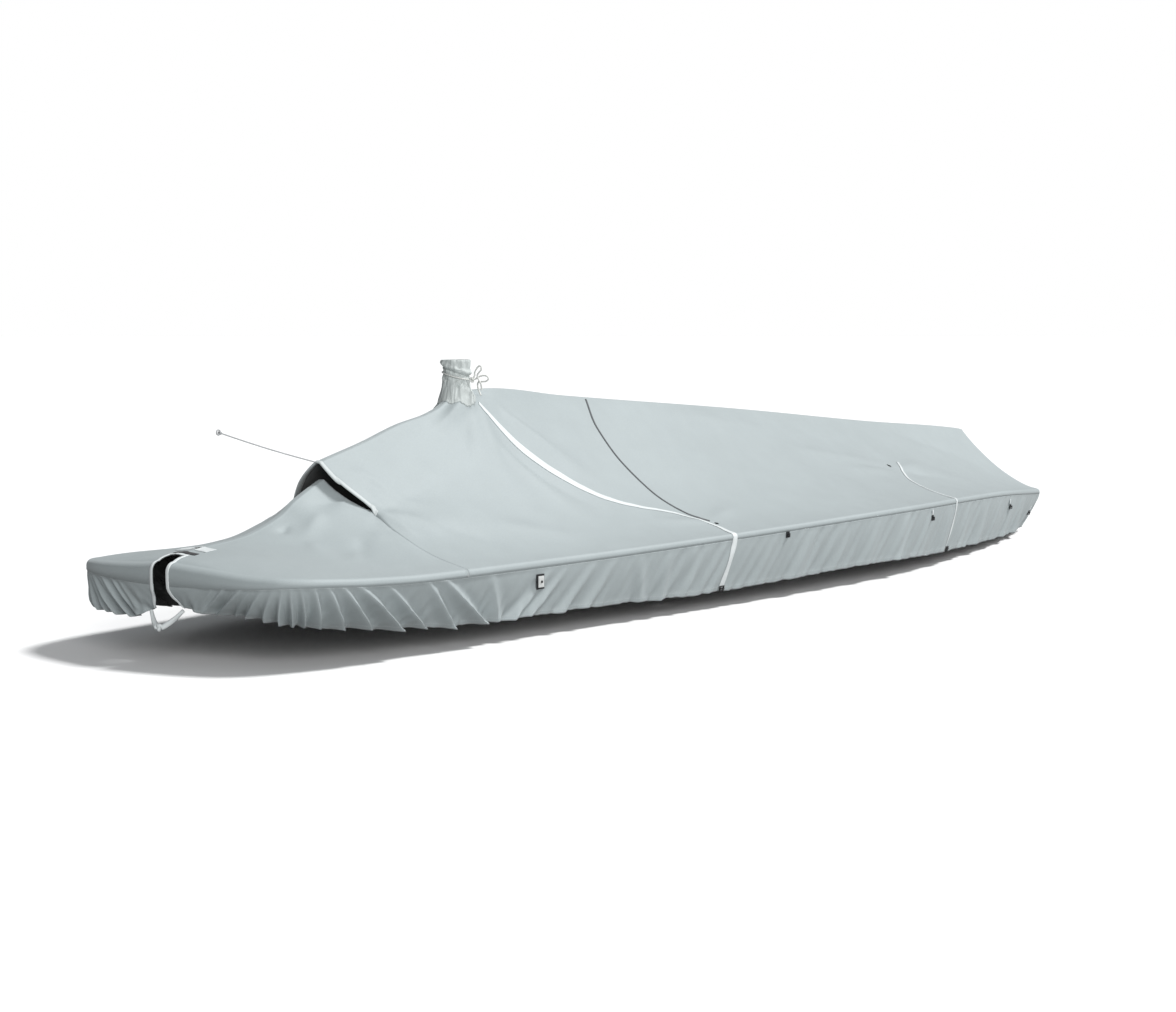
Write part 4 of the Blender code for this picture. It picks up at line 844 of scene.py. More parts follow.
def stitch_mesh(name: str, routes: list[Grid], pitch: float, size: float) -> Piece:
    """Rows of stitches.

    Args:
        name: The piece's name.
        routes: Places along each row, on the face of the cloth.
        pitch: Distance from one stitch to the next.
        size: Thickness of the thread.

    Returns:
        The new object.
    """
    points, faces = [], []
    for route in routes:
        run = run_along(route)
        for at in np.arange(pitch / 2, run[-1] - pitch / 2, pitch):
            start, middle, end = (Vector([float(np.interp(at + shift * pitch, run, route[:, axis]))
                                          for axis in range(3)]) for shift in (-0.34, 0.0, 0.34))
            along = (end - start).normalized()
            across = along.orthogonal().normalized()
            other = along.cross(across)
            first = len(points)
            for centre, reach in ((start, 0.4), (middle, 1.0), (end, 0.4)):
                points.extend(centre + way * size / 2 * reach for way in (across, other, -across, -other))
            for ring in (first, first + 4):
                faces.extend((ring + side, ring + (side + 1) % 4, ring + 4 + (side + 1) % 4, ring + 4 + side)
                             for side in range(4))
            faces.append((first + 3, first + 2, first + 1, first))
            faces.append((first + 8, first + 9, first + 10, first + 11))
    return link_mesh(name, points, faces, None, THREAD)


class Drape:
    """The outer faces of some sheets, for other pieces to lie on."""

    def __init__(self, cloths: list[Cloth]) -> None:
        """Collect the faces of some cloths, as faces_of gives them."""
        points, faces = [], []
        for cloth_points, cloth_faces in cloths:
            start = len(points)
            points.extend(cloth_points)
            faces.extend(tuple(start + index for index in face) for face in cloth_faces)
        self.tree = BVHTree.FromPolygons(points, faces)

    @staticmethod
    def faces_of(piece: Piece) -> Cloth:
        """The points and faces of a piece as they are now."""
        return ([vertex.co.copy() for vertex in piece.data.vertices],
                [tuple(face.vertices) for face in piece.data.polygons])

    def hit(self, start: Vector, way: Vector, lift: float) -> Vector | None:
        """Where a ray meets the cloth, stood off by lift; None where it misses.

        Args:
            start: Where the ray starts.
            way: Its direction.
            lift: Distance off the cloth.

        Returns:
            The place, or None.
        """
        point, normal = self.tree.ray_cast(start, way)[:2]
        if point is None:
            return None
        return point + (normal if normal.dot(way) < 0 else -normal) * lift

    def below(self, aft: float, out: float, lift: float) -> Vector | None:
        """The cloth straight below a plan place."""
        return self.hit(place(aft, out, 2.0), -UP, lift)

    def beside(self, side: Side, run: float, share: float, lift: float) -> Vector | None:
        """The skirt at a distance along the rim and a share of its depth."""
        normal_aft, normal_out = RIM_LINE.spot(run)[2:]
        way = Vector((-normal_aft, -side.value * normal_out, 0))
        return self.hit(skirt_point(side, run, share) - way * 0.15, way, lift)

    def round_rim(self, side: Side, run: float, turn: float, lift: float) -> Vector | None:
        """The rolled edge at a distance along the rim: turn 0 faces up and 90 degrees outwards."""
        aft, out, normal_aft, normal_out = RIM_LINE.spot(run)
        radius = float(FORM.roll(aft))
        centre = place(aft - normal_aft * radius, side.value * (out - normal_out * radius),
                       float(RIM_LINE.height(run)) - radius)
        reach = math.sin(math.radians(turn))
        way = Vector((normal_aft * reach, side.value * normal_out * reach, math.cos(math.radians(turn))))
        return self.hit(centre + way * 0.2, -way, lift)

    def seat(self, centre: Vector, size: Row, axes: tuple[Vector, ...], extra: float = 0.0) -> Vector:
        """Where the centre of a block goes once its back rests on the highest cloth behind it."""
        outward, first, second = axes
        behind = (self.hit(centre + outward * 0.1 + first * size[1] * one / 2 + second * size[2] * two / 2,
                           -outward, 0.0) for one in (-1, 0, 1) for two in (-1, 0, 1))
        stand = max((point - centre).dot(outward) for point in behind if point is not None)
        return centre + outward * (stand + SEAT_GAP + extra + size[0] / 2)


# ---- the cloth ----
def skirt_grid(side: Side, runs: Grid, shares: Grid, fine: bool = True, lift: float = 0.0) -> Grid:
    """Places on the skirt: share 0 is its seam, 1 its hem.

    Args:
        side: Which skirt.
        runs: Distances along the rim, one a row, or one for each place.
        shares: Shares of the depth.
        fine: True adds the fine gathers.
        lift: Distance outward of the cloth.

    Returns:
        A grid of places in the frame of the part.
    """
    run, share = np.broadcast_arrays(runs[:, None] if runs.ndim == 1 else runs, shares)
    aft, out, normal_aft, normal_out = RIM_LINE.at(run)
    seam = RIM_LINE.seam(run) - 0.0008
    hem, tuck = (smooth(HEM[:, 0], HEM[:, column], run) for column in (1, 2))
    if side is Side.STARBOARD:
        hem = hem - BOW_SAG[2] * np.exp(-((run - BOW_SAG[0]) / BOW_SAG[1]) ** 2)
        tuck = tuck - BOW_SLACK[2] * np.exp(-((run - BOW_SLACK[0]) / BOW_SLACK[1]) ** 2)
    stand = lift - tuck * share ** 1.5 + skirt_folds(side, run, share, fine)
    rake = STERN_RAKE * ramp((run - RIM_LINE.corner_run + 0.5) / 0.5) * share ** 1.2
    if fine:
        seam, hem = seam + 0.0040, hem + hem_scallop(run)
        tucked = 0.0024 * (1 - ramp(share / 0.035))
        aft, out = aft - normal_aft * tucked, out - normal_out * tucked
    return np.stack((aft + normal_aft * stand - rake - COLLAR_AFT, side.value * (out + normal_out * stand),
                     seam + (hem - seam) * share - DATUM_DROP), axis=-1)


def skirt_point(side: Side, run: float, share: float, lift: float = 0.0) -> Vector:
    """One place on the skirt, without its fine gathers."""
    return Vector(skirt_grid(side, np.array([run]), np.array([share]), fine=False, lift=lift)[0, 0])


def hem_scallop(run: Grid) -> Grid:
    """The hem rises a little between its gathers."""
    return 0.0016 * np.sin(97 * run + 1.3) * np.sin(41 * run) + 0.0022 * np.sin(23 * run + 0.7)


def fold_table() -> list[Row]:
    """All skirt folds: the listed ones, then the smaller ones further aft."""
    first, last, count = AFT_FOLDS
    rows = list(SKIRT_FOLDS)
    for index in range(count):
        hem = first + (last - first) * index / (count - 1)
        high = AFT_FOLD_HEIGHTS[index % len(AFT_FOLD_HEIGHTS)]
        rows.append((hem + AFT_FOLD_SLANT, hem, AFT_FOLD_HALF, high))
    return rows


def skirt_folds(side: Side, run: Grid, share: Grid, fine: bool) -> Grid:
    """Outward stand of the skirt's folds.

    Args:
        side: Which skirt.
        run: Distances along the rim.
        share: Shares of the depth.
        fine: True gives the folds their sharper crests, the troughs beside them and the fine gathers.

    Returns:
        How far each place stands out.
    """
    grown = np.clip(share - FOLD_START, 0, None) ** 0.8
    total = np.zeros(np.broadcast(run, share).shape)
    fallen = np.ones_like(total)
    for top, hem, half, high in fold_table():
        beside = (run - top - (hem - top) * share) / half
        if not fine:
            total = total + high * grown * np.exp(-beside ** 2)
            continue
        crest = np.exp(-np.abs(beside) ** CREST_POWER)
        fallen = fallen * (1 - min(1.0, high / POCKET[2]) ** 1.3 * np.exp(-np.abs(beside / 0.66) ** 1.8))
        trough = np.exp(-((beside + 1.45) / 0.9) ** 2) + 0.7 * np.exp(-((beside - 1.5) / 0.9) ** 2)
        total = total + high * grown * (CREST_LIFT * crest - FOLD_POCKET * trough)
    if not fine:
        return total
    turn = 0.0 if side is Side.PORT else 1.7
    bow = ramp((2.6 - run) / 0.8)
    folded = ramp((run - 0.12) / 0.14) * ramp((1.80 - run) / 0.75) + 0.16 * ramp((run - 1.2) / 0.6)
    total = total - POCKET[0] * (0.12 * ramp(share / 0.1) + 0.88 * share ** POCKET[1]) * folded * fallen
    low = np.clip((share - 0.25) / 0.75, 0, 1) ** 1.3
    gathers = (np.sin(108 * (run + 0.05 * share) + 3 * np.sin(9 * run) + turn)
               + 0.7 * np.sin(171 * (run + 0.03 * share) + 2 * np.sin(13 * run)))
    streaks = (np.sin(62 * (run + 0.16 * share) + 2.5 * np.sin(4.1 * run + turn))
               * (0.6 + 0.4 * np.sin(7.7 * run)))
    second = np.sin(103 * (run + 0.13 * share) + 3.1 * np.sin(5.3 * run))
    full = np.clip(share / 0.15, 0, 1)
    total = total + gathers * low * (GATHER + BOW_GATHER * bow)
    total = total + (STREAK * streaks + SMALL_STREAK * second) * full * (1 - 0.8 * bow) * (0.5 + 0.5 * share)
    curl_share, curl_depth, curl_end = HEM_CURL
    curled = ramp((curl_end - run) / 0.6) * ramp((run - 0.12) / 0.25)
    total = total - curl_depth * ramp((share - curl_share) / (1.3 - curl_share)) * curled * 1.6
    return total + HEM_LAYER * ramp((share - HEM_FROM) / 0.02)


def across_row(start: float, end: float, shares: Grid) -> list[float]:
    """Distances from the centreline at which a row of the top has its points."""
    first = start + RIDGE_HALF
    ridge = [start + RIDGE_HALF * part for part in (0.0, 0.2, 0.45, 0.7, 1.0)]
    return ridge + [first + (end - first) * float(share) for share in shares[1:]]


@dataclass
class Panels:
    """The sheets of the top, each with its edge rolled over the rim and down to the skirt."""

    thickness: float = 0.0016
    fine_step: float = 0.0125
    step: float = 0.028
    fine_end: float = 1.95
    columns: int = 64
    bow_rows: int = 74
    bow_start: float = 0.14
    tuck: Row = (0.007, 0.0024)   # the bow panel goes on under the hood: how far, how much lower
    turns: tuple[float, ...] = (15.0, 30.0, 45.0, 60.0, 75.0, 90.0)
    pieces: dict[str, Piece] = field(default_factory=dict)
    cloths: dict[str, Cloth] = field(default_factory=dict)

    def shares(self) -> Grid:
        """Shares of the half breadth, closer together at the ridge and at the rim."""
        even = np.linspace(0, 1, self.columns)
        return even - 0.11 * np.sin(math.tau * even)

    def height(self, aft: Grid, out: Grid) -> Grid:
        """The cloth with its creases."""
        return FORM.drape(aft, out) + FORM.fine(aft, out)

    def top_row(self, aft_edge: float, side: Side, first_row: bool) -> list[Row]:
        """One row of a top panel, as aft, out, high.

        Args:
            aft_edge: Where the row meets the rim.
            side: Which panel.
            first_row: True for the hood's lip.

        Returns:
            The row.
        """
        reach = RIM_LINE.inner_half(aft_edge)
        out = np.array(across_row(HALF_GAP, reach, self.shares()))
        stern = float(ramp((aft_edge - LENGTH + 1.0) / 0.99))
        aft = aft_edge - STERN_HOLLOW * stern * np.cos(math.pi / 2 * out / reach) ** 2
        sweep = FORM.slit(out) - VENT_AFT - VENT_SWEEP
        aft = aft + sweep * max(0.0, 1 - (aft_edge - VENT_AFT - VENT_SWEEP) / VENT_FADE)
        if first_row:
            aft = aft + VENT_GAP / 2 - VENT_OVERHANG * FORM.lip(out)
        high = self.height(aft, side.value * out) + FORM.hood(aft, side.value * out)
        return list(zip(aft, side.value * out, high))

    def main_rows(self) -> Grid:
        """Where the rows of a top panel meet the rim, from the vent to the stern."""
        start, end = VENT_AFT + VENT_SWEEP, LENGTH - STERN_CORNER
        fine = np.arange(start, self.fine_end, self.fine_step)
        reach = STERN_CORNER - float(FORM.roll(LENGTH))
        corner = [end + reach * math.sin(math.radians(turn)) for turn in np.linspace(0, 90, 10)]
        return np.array([*fine, *np.arange(self.fine_end, end - 0.01, self.step), *corner])

    def bow_grid(self) -> list[list[Row]]:
        """Rows of the bow panel, from the rolled front edge to the vent, as aft, out, high.

        Returns:
            The rows.
        """
        first, last = float(RIM_LINE.inner_aft[0]), VENT_AFT + VENT_SWEEP
        steps = np.linspace(self.bow_start, 1, self.bow_rows)
        front = first + (last - first) * float(steps[0]) ** 2
        rows = []
        for step in steps:
            aft_edge = first + (last - first) * float(step) ** 2
            outs = across_row(0.0, RIM_LINE.inner_half(aft_edge), self.shares())
            out = np.array([-value for value in outs[:0:-1]] + outs)
            nose = np.array([front - RIM_LINE.inner_nose(abs(value)) for value in out])
            nose = np.clip(nose, 0, None) * max(0.0, 1 - (aft_edge - front) / BOW_FADE)
            sweep = FORM.slit(out) - last
            aft = aft_edge - nose + sweep * max(0.0, 1 - (last - aft_edge) / VENT_FADE)
            if step == steps[-1]:
                aft = aft + VENT_TUCK * FORM.lip(out) + VENT_GAP / 2 - 0.0002
            rows.append(list(zip(aft, out, self.height(aft, out))))
        tucked = aft + self.tuck[0]
        rows.append(list(zip(tucked, out, self.height(tucked, out) - self.tuck[1])))
        return rows

    def build_sheet(self, name: str, rows: list[list[Row]], edge: list[int], flip: bool) -> Piece:
        """A sheet from its rows, with the rolled edge below the places whose numbers edge lists.

        Args:
            name: The piece's name.
            rows: Its rows, as aft, out, high.
            edge: Numbers of the places that the edge hangs from.
            flip: True turns its faces over.

        Returns:
            The sheet.
        """
        places = [point for row in rows for point in row]
        points = [place(*point) for point in places]
        uvs = [(out, aft) for aft, out, high in places]
        faces = grid_faces(len(rows), len(rows[0]), flip)
        strips: list[list[Vector]] = [[] for turn in (*self.turns, 0)]
        notes: list[list[Row]] = [[] for turn in (*self.turns, 0)]
        for number in edge:
            aft, out, high = places[number]
            run = RIM_LINE.nearest(aft, abs(out))
            rim_aft, rim_out, normal_aft, normal_out = RIM_LINE.spot(run)
            side = -1 if out < 0 else 1
            radius = float(FORM.roll(rim_aft))
            for index, turn in enumerate(self.turns):
                reach = radius * math.sin(math.radians(turn))
                drop = radius * (1 - math.cos(math.radians(turn)))
                rolled = place(aft + normal_aft * reach, out + side * normal_out * reach, high - drop)
                strips[index].append(rolled)
                notes[index].append((out + side * radius * math.radians(turn), aft))
            strips[-1].append(place(rim_aft, side * rim_out, float(RIM_LINE.seam(run))))
            notes[-1].append((out + side * (radius * math.pi / 2 + LAP), aft))
        above = list(edge)
        for strip, note in zip(strips, notes):
            below = list(range(len(points), len(points) + len(strip)))
            points.extend(strip)
            uvs.extend(note)
            for index in range(len(strip) - 1):
                quad = (above[index], above[index + 1], below[index + 1], below[index])
                faces.append(quad if flip else quad[::-1])
            above = below
        piece = link_mesh(name, points, faces, np.array(uvs), COVER)
        return thicken(piece, self.thickness, inside=PAINTED_SHADE_INSIDE)

    def build(self) -> None:
        """Build the bow panel and both top panels."""
        rows = self.bow_grid()
        columns, count = len(rows[0]), len(rows)
        port = [row * columns for row in range(count - 2, 0, -1)]
        starboard = [row * columns + columns - 1 for row in range(1, count - 1)]
        bow = self.build_sheet("bow_cloth", rows, port + list(range(columns)) + starboard, True)
        self.cloths["bow"] = Drape.faces_of(bow)
        cut_upright(bow, [BOW_SLOT, BOW_NOTCH])
        self.pieces["bow"] = ride_on(bow, "cover_cloth", "bow_panel")
        for side in Side:
            rows = [self.top_row(float(aft), side, index == 0) for index, aft in enumerate(self.main_rows())]
            columns = len(rows[0])
            beside = [row * columns + columns - 1 for row in range(len(rows))]
            stern = [(len(rows) - 1) * columns + column for column in range(columns - 2, -1, -1)]
            top = self.build_sheet("top_cloth_" + side.label, rows, beside + stern, side is Side.STARBOARD)
            self.cloths[side.label] = Drape.faces_of(top)
            cut_upright(top, [COLLAR_HOLE, *TOP_HOLES[side]])
            self.pieces[side.label] = ride_on(top, "cover_cloth", "top_panel_" + side.label)


@dataclass
class Skirts:
    """The gathered strips below the rim and the cloth behind the stern edge."""

    thickness: float = 0.0016
    fine_columns: int = 560
    columns: int = 420
    rows: int = 34
    fine_end: float = 1.8
    pieces: dict[str, Piece] = field(default_factory=dict)
    cloths: dict[str, Cloth] = field(default_factory=dict)

    def build(self) -> None:
        """Build both skirts and the transom cloth."""
        end = RIM_LINE.corner_run - STERN_SEAM
        shares = np.linspace(0, 1, self.rows)
        stations = np.array([*np.linspace(NOTCH_HALF, self.fine_end, self.fine_columns),
                             *np.linspace(self.fine_end, end, self.columns)[1:]])
        fan = np.clip(1 - (stations - NOTCH_HALF) / NOTCH_FADE, 0, None)
        runs = stations[:, None] + NOTCH_FLARE * shares[None, :] ** 2 * fan[:, None]
        for side in Side:
            grid = skirt_grid(side, runs, shares[None, :])
            piece = sheet_mesh("skirt_cloth_" + side.label, grid, COVER, self.thickness,
                               flip=side is Side.STARBOARD, inside=PAINTED_SHADE_INSIDE)
            self.cloths[side.label] = Drape.faces_of(piece)
            self.pieces[side.label] = ride_on(piece, "cover_cloth", "skirt_" + side.label)
        start = end + 0.0003
        stern = np.linspace(start, RIM_LINE.run[-1], 110)
        port = skirt_grid(Side.PORT, stern, shares[None, :])
        far = skirt_grid(Side.STARBOARD, stern[-2::-1], shares[None, :])
        grid = np.concatenate((port, far))
        transom = sheet_mesh("transom_cloth", grid, COVER, self.thickness, inside=PAINTED_SHADE_INSIDE)
        self.pieces["transom"] = ride_on(transom, "cover_cloth", "transom_panel")


# ---- what is sewn, tied and fitted to the cloth ----
TAPE_LIFT, TAPE_THICK, SKIRT_LIFT, SEAM_GAP, SEAT_GAP = 0.0007, 0.0013, 0.0009, 0.0003, 0.0008

# routes over the top: aft, out, width
SIDE_TAPE = ((1.655, 0.068, 0.010), (1.692, 0.105, 0.018), (1.768, 0.192, 0.026), (1.882, 0.297, 0.028),
             (2.022, 0.411, 0.024), (2.17, 0.485, 0.015), (2.33, 0.552, 0.012), (2.385, 0.61, 0.012),
             (2.422, 0.66, 0.014), (2.43, 0.705, 0.018), (2.418, 0.752, 0.024))
SIDE_TAPE_DOWN = (2.849, 2.799, 0.028)   # distance along the rim at the top and at the hem, width
REAR_TAPE = ((4.665, 0.335, 0.010), (4.560, 0.420, 0.012), (4.455, 0.520, 0.012), (4.410, 0.630, 0.012),
             (4.39, 0.7, 0.014), (4.382, 0.752, 0.015))
REAR_TAPE_DOWN = (4.827, 4.787, 0.018)
CORDED_SEAM = ((2.445, 0.020, 0.009), (2.380, 0.130, 0.009), (2.352, 0.280, 0.009), (2.356, 0.420, 0.009),
               (2.396, 0.57, 0.009), (2.448, 0.65, 0.009))

# skirt fittings: distance along the rim, distance below the seam, with a loop; sizes are outward, along, up
HOOKS = ((3.210, 0.012, False), (4.485, 0.046, True), (5.780, 0.058, True), (6.430, 0.100, True))
HOOK_SIZE, LOOP_SIZE, LOOP_GAP = (0.012, 0.020, 0.026), (0.002, 0.013, 0.024), 0.004
PLATE = (1.682, 0.050)
PLATE_SIZE, PLATE_FACE, PLATE_STUD = (0.004, 0.040, 0.056), (0.003, 0.030, 0.042), (0.005, 0.010, 0.010)
BUCKLE_SIZE, BUCKLE_UP = (0.009, 0.030, 0.024), 0.013   # its middle is this far above the hem
RIVET = (0.0030, 0.0048, 0.0048)
TAPE_STITCH, PATCH_STITCH, FINE_THREAD = 0.006, 0.005, 0.0009
PLATE_BORDER, PLATE_SINK = 0.0028, -0.0008   # width and depth of the dark frame's inner edge
FACE_BORDER, FACE_RISE = 0.0034, 0.0006      # the same for the pale face, which is raised

# collar: height at the knot, height on the far side, outer radius
COLLAR_ROWS = np.array((
    (0.024, 0.026, 0.0575), (0.036, 0.05, 0.055), (0.046, 0.076, 0.0525), (0.064, 0.094, 0.0525),
    (0.08, 0.104, 0.0545), (0.106, 0.118, 0.0575), (0.133, 0.133, 0.06)))
# its foot on the top panels: radius, stand-off
COLLAR_FOOT = ((0.0760, -0.0006), (0.0735, 0.0012), (0.0700, 0.0030), (0.0665, 0.0060), (0.0620, 0.0105))
DRAWCORD = (0.055, 0.085, 0.0560, 0.005)   # height at the knot, on the far side, radius to its middle, cord
KNOT_ANGLE, KNOT_RADIUS = math.radians(-71.5), 0.0675
KNOT_SIZE, TIE_CORD = (0.015, 0.023, 0.024), 0.0072
# creases of the sleeve: angle and height at both ends, half width, depth (negative is a trough)
SLEEVE_CREASES = (
    (249, 0.046, 212, 0.014, 0.0034, -0.004), (258, 0.04, 226, 0.01, 0.003, -0.0034),
    (255, 0.058, 205, 0.038, 0.005, 0.003), (228, 0.031, 221, 0.027, 0.004, -0.0038),
    (181, 0.026, 174, 0.018, 0.004, -0.0038), (240, 0.09, 200, 0.086, 0.004, -0.0022),
    (300, 0.046, 336, 0.012, 0.0036, -0.0034), (310, 0.07, 350, 0.04, 0.0045, 0.0026),
    (20, 0.08, 60, 0.04, 0.005, -0.003), (75, 0.06, 110, 0.02, 0.0045, -0.0032),
    (130, 0.07, 165, 0.045, 0.0045, 0.0026), (95, 0.11, 140, 0.092, 0.004, -0.0024),
    (0, 0.11, 40, 0.096, 0.004, -0.0022), (150, 0.058, 190, 0.052, 0.0036, -0.0026))
# tie ends, from the knot: outwards from the collar, sideways, up
TIES = {
    "collar_tie_lower": (
        (0.004, 0.001, 0.0), (0.012, 0.002, 0.002), (0.024, 0.006, 0.01), (0.042, 0.006, 0.016),
        (0.06, 0.002, 0.014), (0.069, -0.002, 0.004), (0.06, -0.004, -0.006), (0.042, -0.001, -0.008),
        (0.025, 0.005, -0.01), (0.018, 0.012, -0.02), (0.02, 0.012, -0.034), (0.026, 0.009, -0.048),
        (0.034, 0.006, -0.062)),
    "collar_tie_upper": (
        (0.004, 0.0, 0.006), (0.01, 0.0, 0.016), (0.012, -0.004, 0.028), (0.022, -0.009, 0.044),
        (0.034, -0.013, 0.054), (0.044, -0.016, 0.05), (0.043, -0.017, 0.038), (0.034, -0.015, 0.029),
        (0.026, -0.012, 0.018), (0.028, -0.01, 0.004), (0.036, -0.009, -0.01), (0.041, -0.008, -0.026),
        (0.042, -0.008, -0.042))}


def even_rows(table: tuple[Row, ...], count: int) -> Grid:
    """Rows of a route table read at even steps along it."""
    rows = np.array(table, float)
    run = np.concatenate(([0], np.cumsum(np.hypot(np.diff(rows[:, 0]), np.diff(rows[:, 1])))))
    at = np.linspace(0, run[-1], count)
    return np.stack([smooth(run, rows[:, column], at) for column in range(rows.shape[1])], axis=1)


def filled(line: list[Vector | None]) -> list[Vector]:
    """A line of places with the ones that missed the cloth bridged."""
    known = [index for index, point in enumerate(line) if point is not None]
    grid = as_grid(line[index] for index in known)
    places = [np.interp(range(len(line)), known, grid[:, axis]) for axis in range(3)]
    return [Vector(tuple(map(float, point))) for point in zip(*places)]


def knot_mesh(name: str, centre: Vector, size: Row, axes: tuple[Vector, ...], cord: float,
              finish: Finish) -> Piece:
    """A drawn-up overhand knot: one turn of cord over, under and through itself."""
    wide, tall, deep = ((size[part] - cord) / 2 for part in (1, 2, 0))
    route = []
    for turn in np.linspace(0, math.tau, 97)[:-1]:
        side = (math.sin(turn) + 2 * math.sin(2 * turn)) / 2.6
        high = (math.cos(turn) - 2 * math.cos(2 * turn)) / 2.7
        across = axes[1] * side * wide + axes[2] * high * tall
        route.append(centre - axes[0] * math.sin(3 * turn) * deep + across)
    return tube_mesh(name, as_grid(route), cord, finish, closed=True)


@dataclass
class Closure:
    """A flat tape or a corded seam over the top; a tape goes on over the rim and down to the hem."""

    name: str
    side: Side
    route: tuple[Row, ...]
    finish: Finish
    slot: str
    down: Row | None = None
    count: int = 120
    thickness: float = TAPE_THICK
    offsets: tuple[float, ...] = (-0.5, -0.44, -0.25, 0.0, 0.25, 0.44, 0.5)
    crown: tuple[float, ...] = (0.0, 0.0004, 0.0007, 0.0008, 0.0007, 0.0004, 0.0)

    def line(self, drape: Drape, offset: float, lift: float) -> list[Vector]:
        """Places along the strip.

        Args:
            drape: The cloth under it.
            offset: Distance from its middle, as a share of its width.
            lift: Distance off the cloth.

        Returns:
            The places, from the collar end to the hem.
        """
        rows = even_rows(self.route, self.count)
        along = np.gradient(rows[:, :2], axis=0)
        along /= np.linalg.norm(along, axis=1)[:, None]
        side = self.side
        beside = offset * rows[:, 2]
        aft = rows[:, 0] - beside * along[:, 1]
        out = side.value * (rows[:, 1] + beside * along[:, 0])
        places = [drape.below(*spot, lift) for spot in zip(aft, out)]
        if self.down is not None:
            top_run, hem_run, width = self.down
            run = top_run - offset * width
            places += [drape.round_rim(side, run, turn, lift) for turn in range(4, 87, 6)]
            for share in np.linspace(0.05, 0.985, 30):
                run = top_run + (hem_run - top_run) * share - offset * width
                places.append(drape.beside(side, run, share, lift + SKIRT_LIFT - TAPE_LIFT))
        return filled(places)

    def build(self, drape: Drape) -> Piece:
        """Lay the strip on the cloth."""
        columns = [self.line(drape, offset, TAPE_LIFT + crown)
                   for offset, crown in zip(self.offsets, self.crown)]
        grid = np.array([as_grid(row) for row in zip(*columns)])
        piece = sheet_mesh(self.name + "_sewn", grid, self.finish, self.thickness,
                           flip=self.side is Side.STARBOARD, outwards=True)
        return ride_on(piece, self.slot, self.name)

    def stitches(self, drape: Drape) -> list[Grid]:
        """A row of stitches inside each edge."""
        lift = TAPE_LIFT + self.thickness + 0.0005
        return [as_grid(self.line(drape, offset, lift)) for offset in (-0.36, 0.36)]


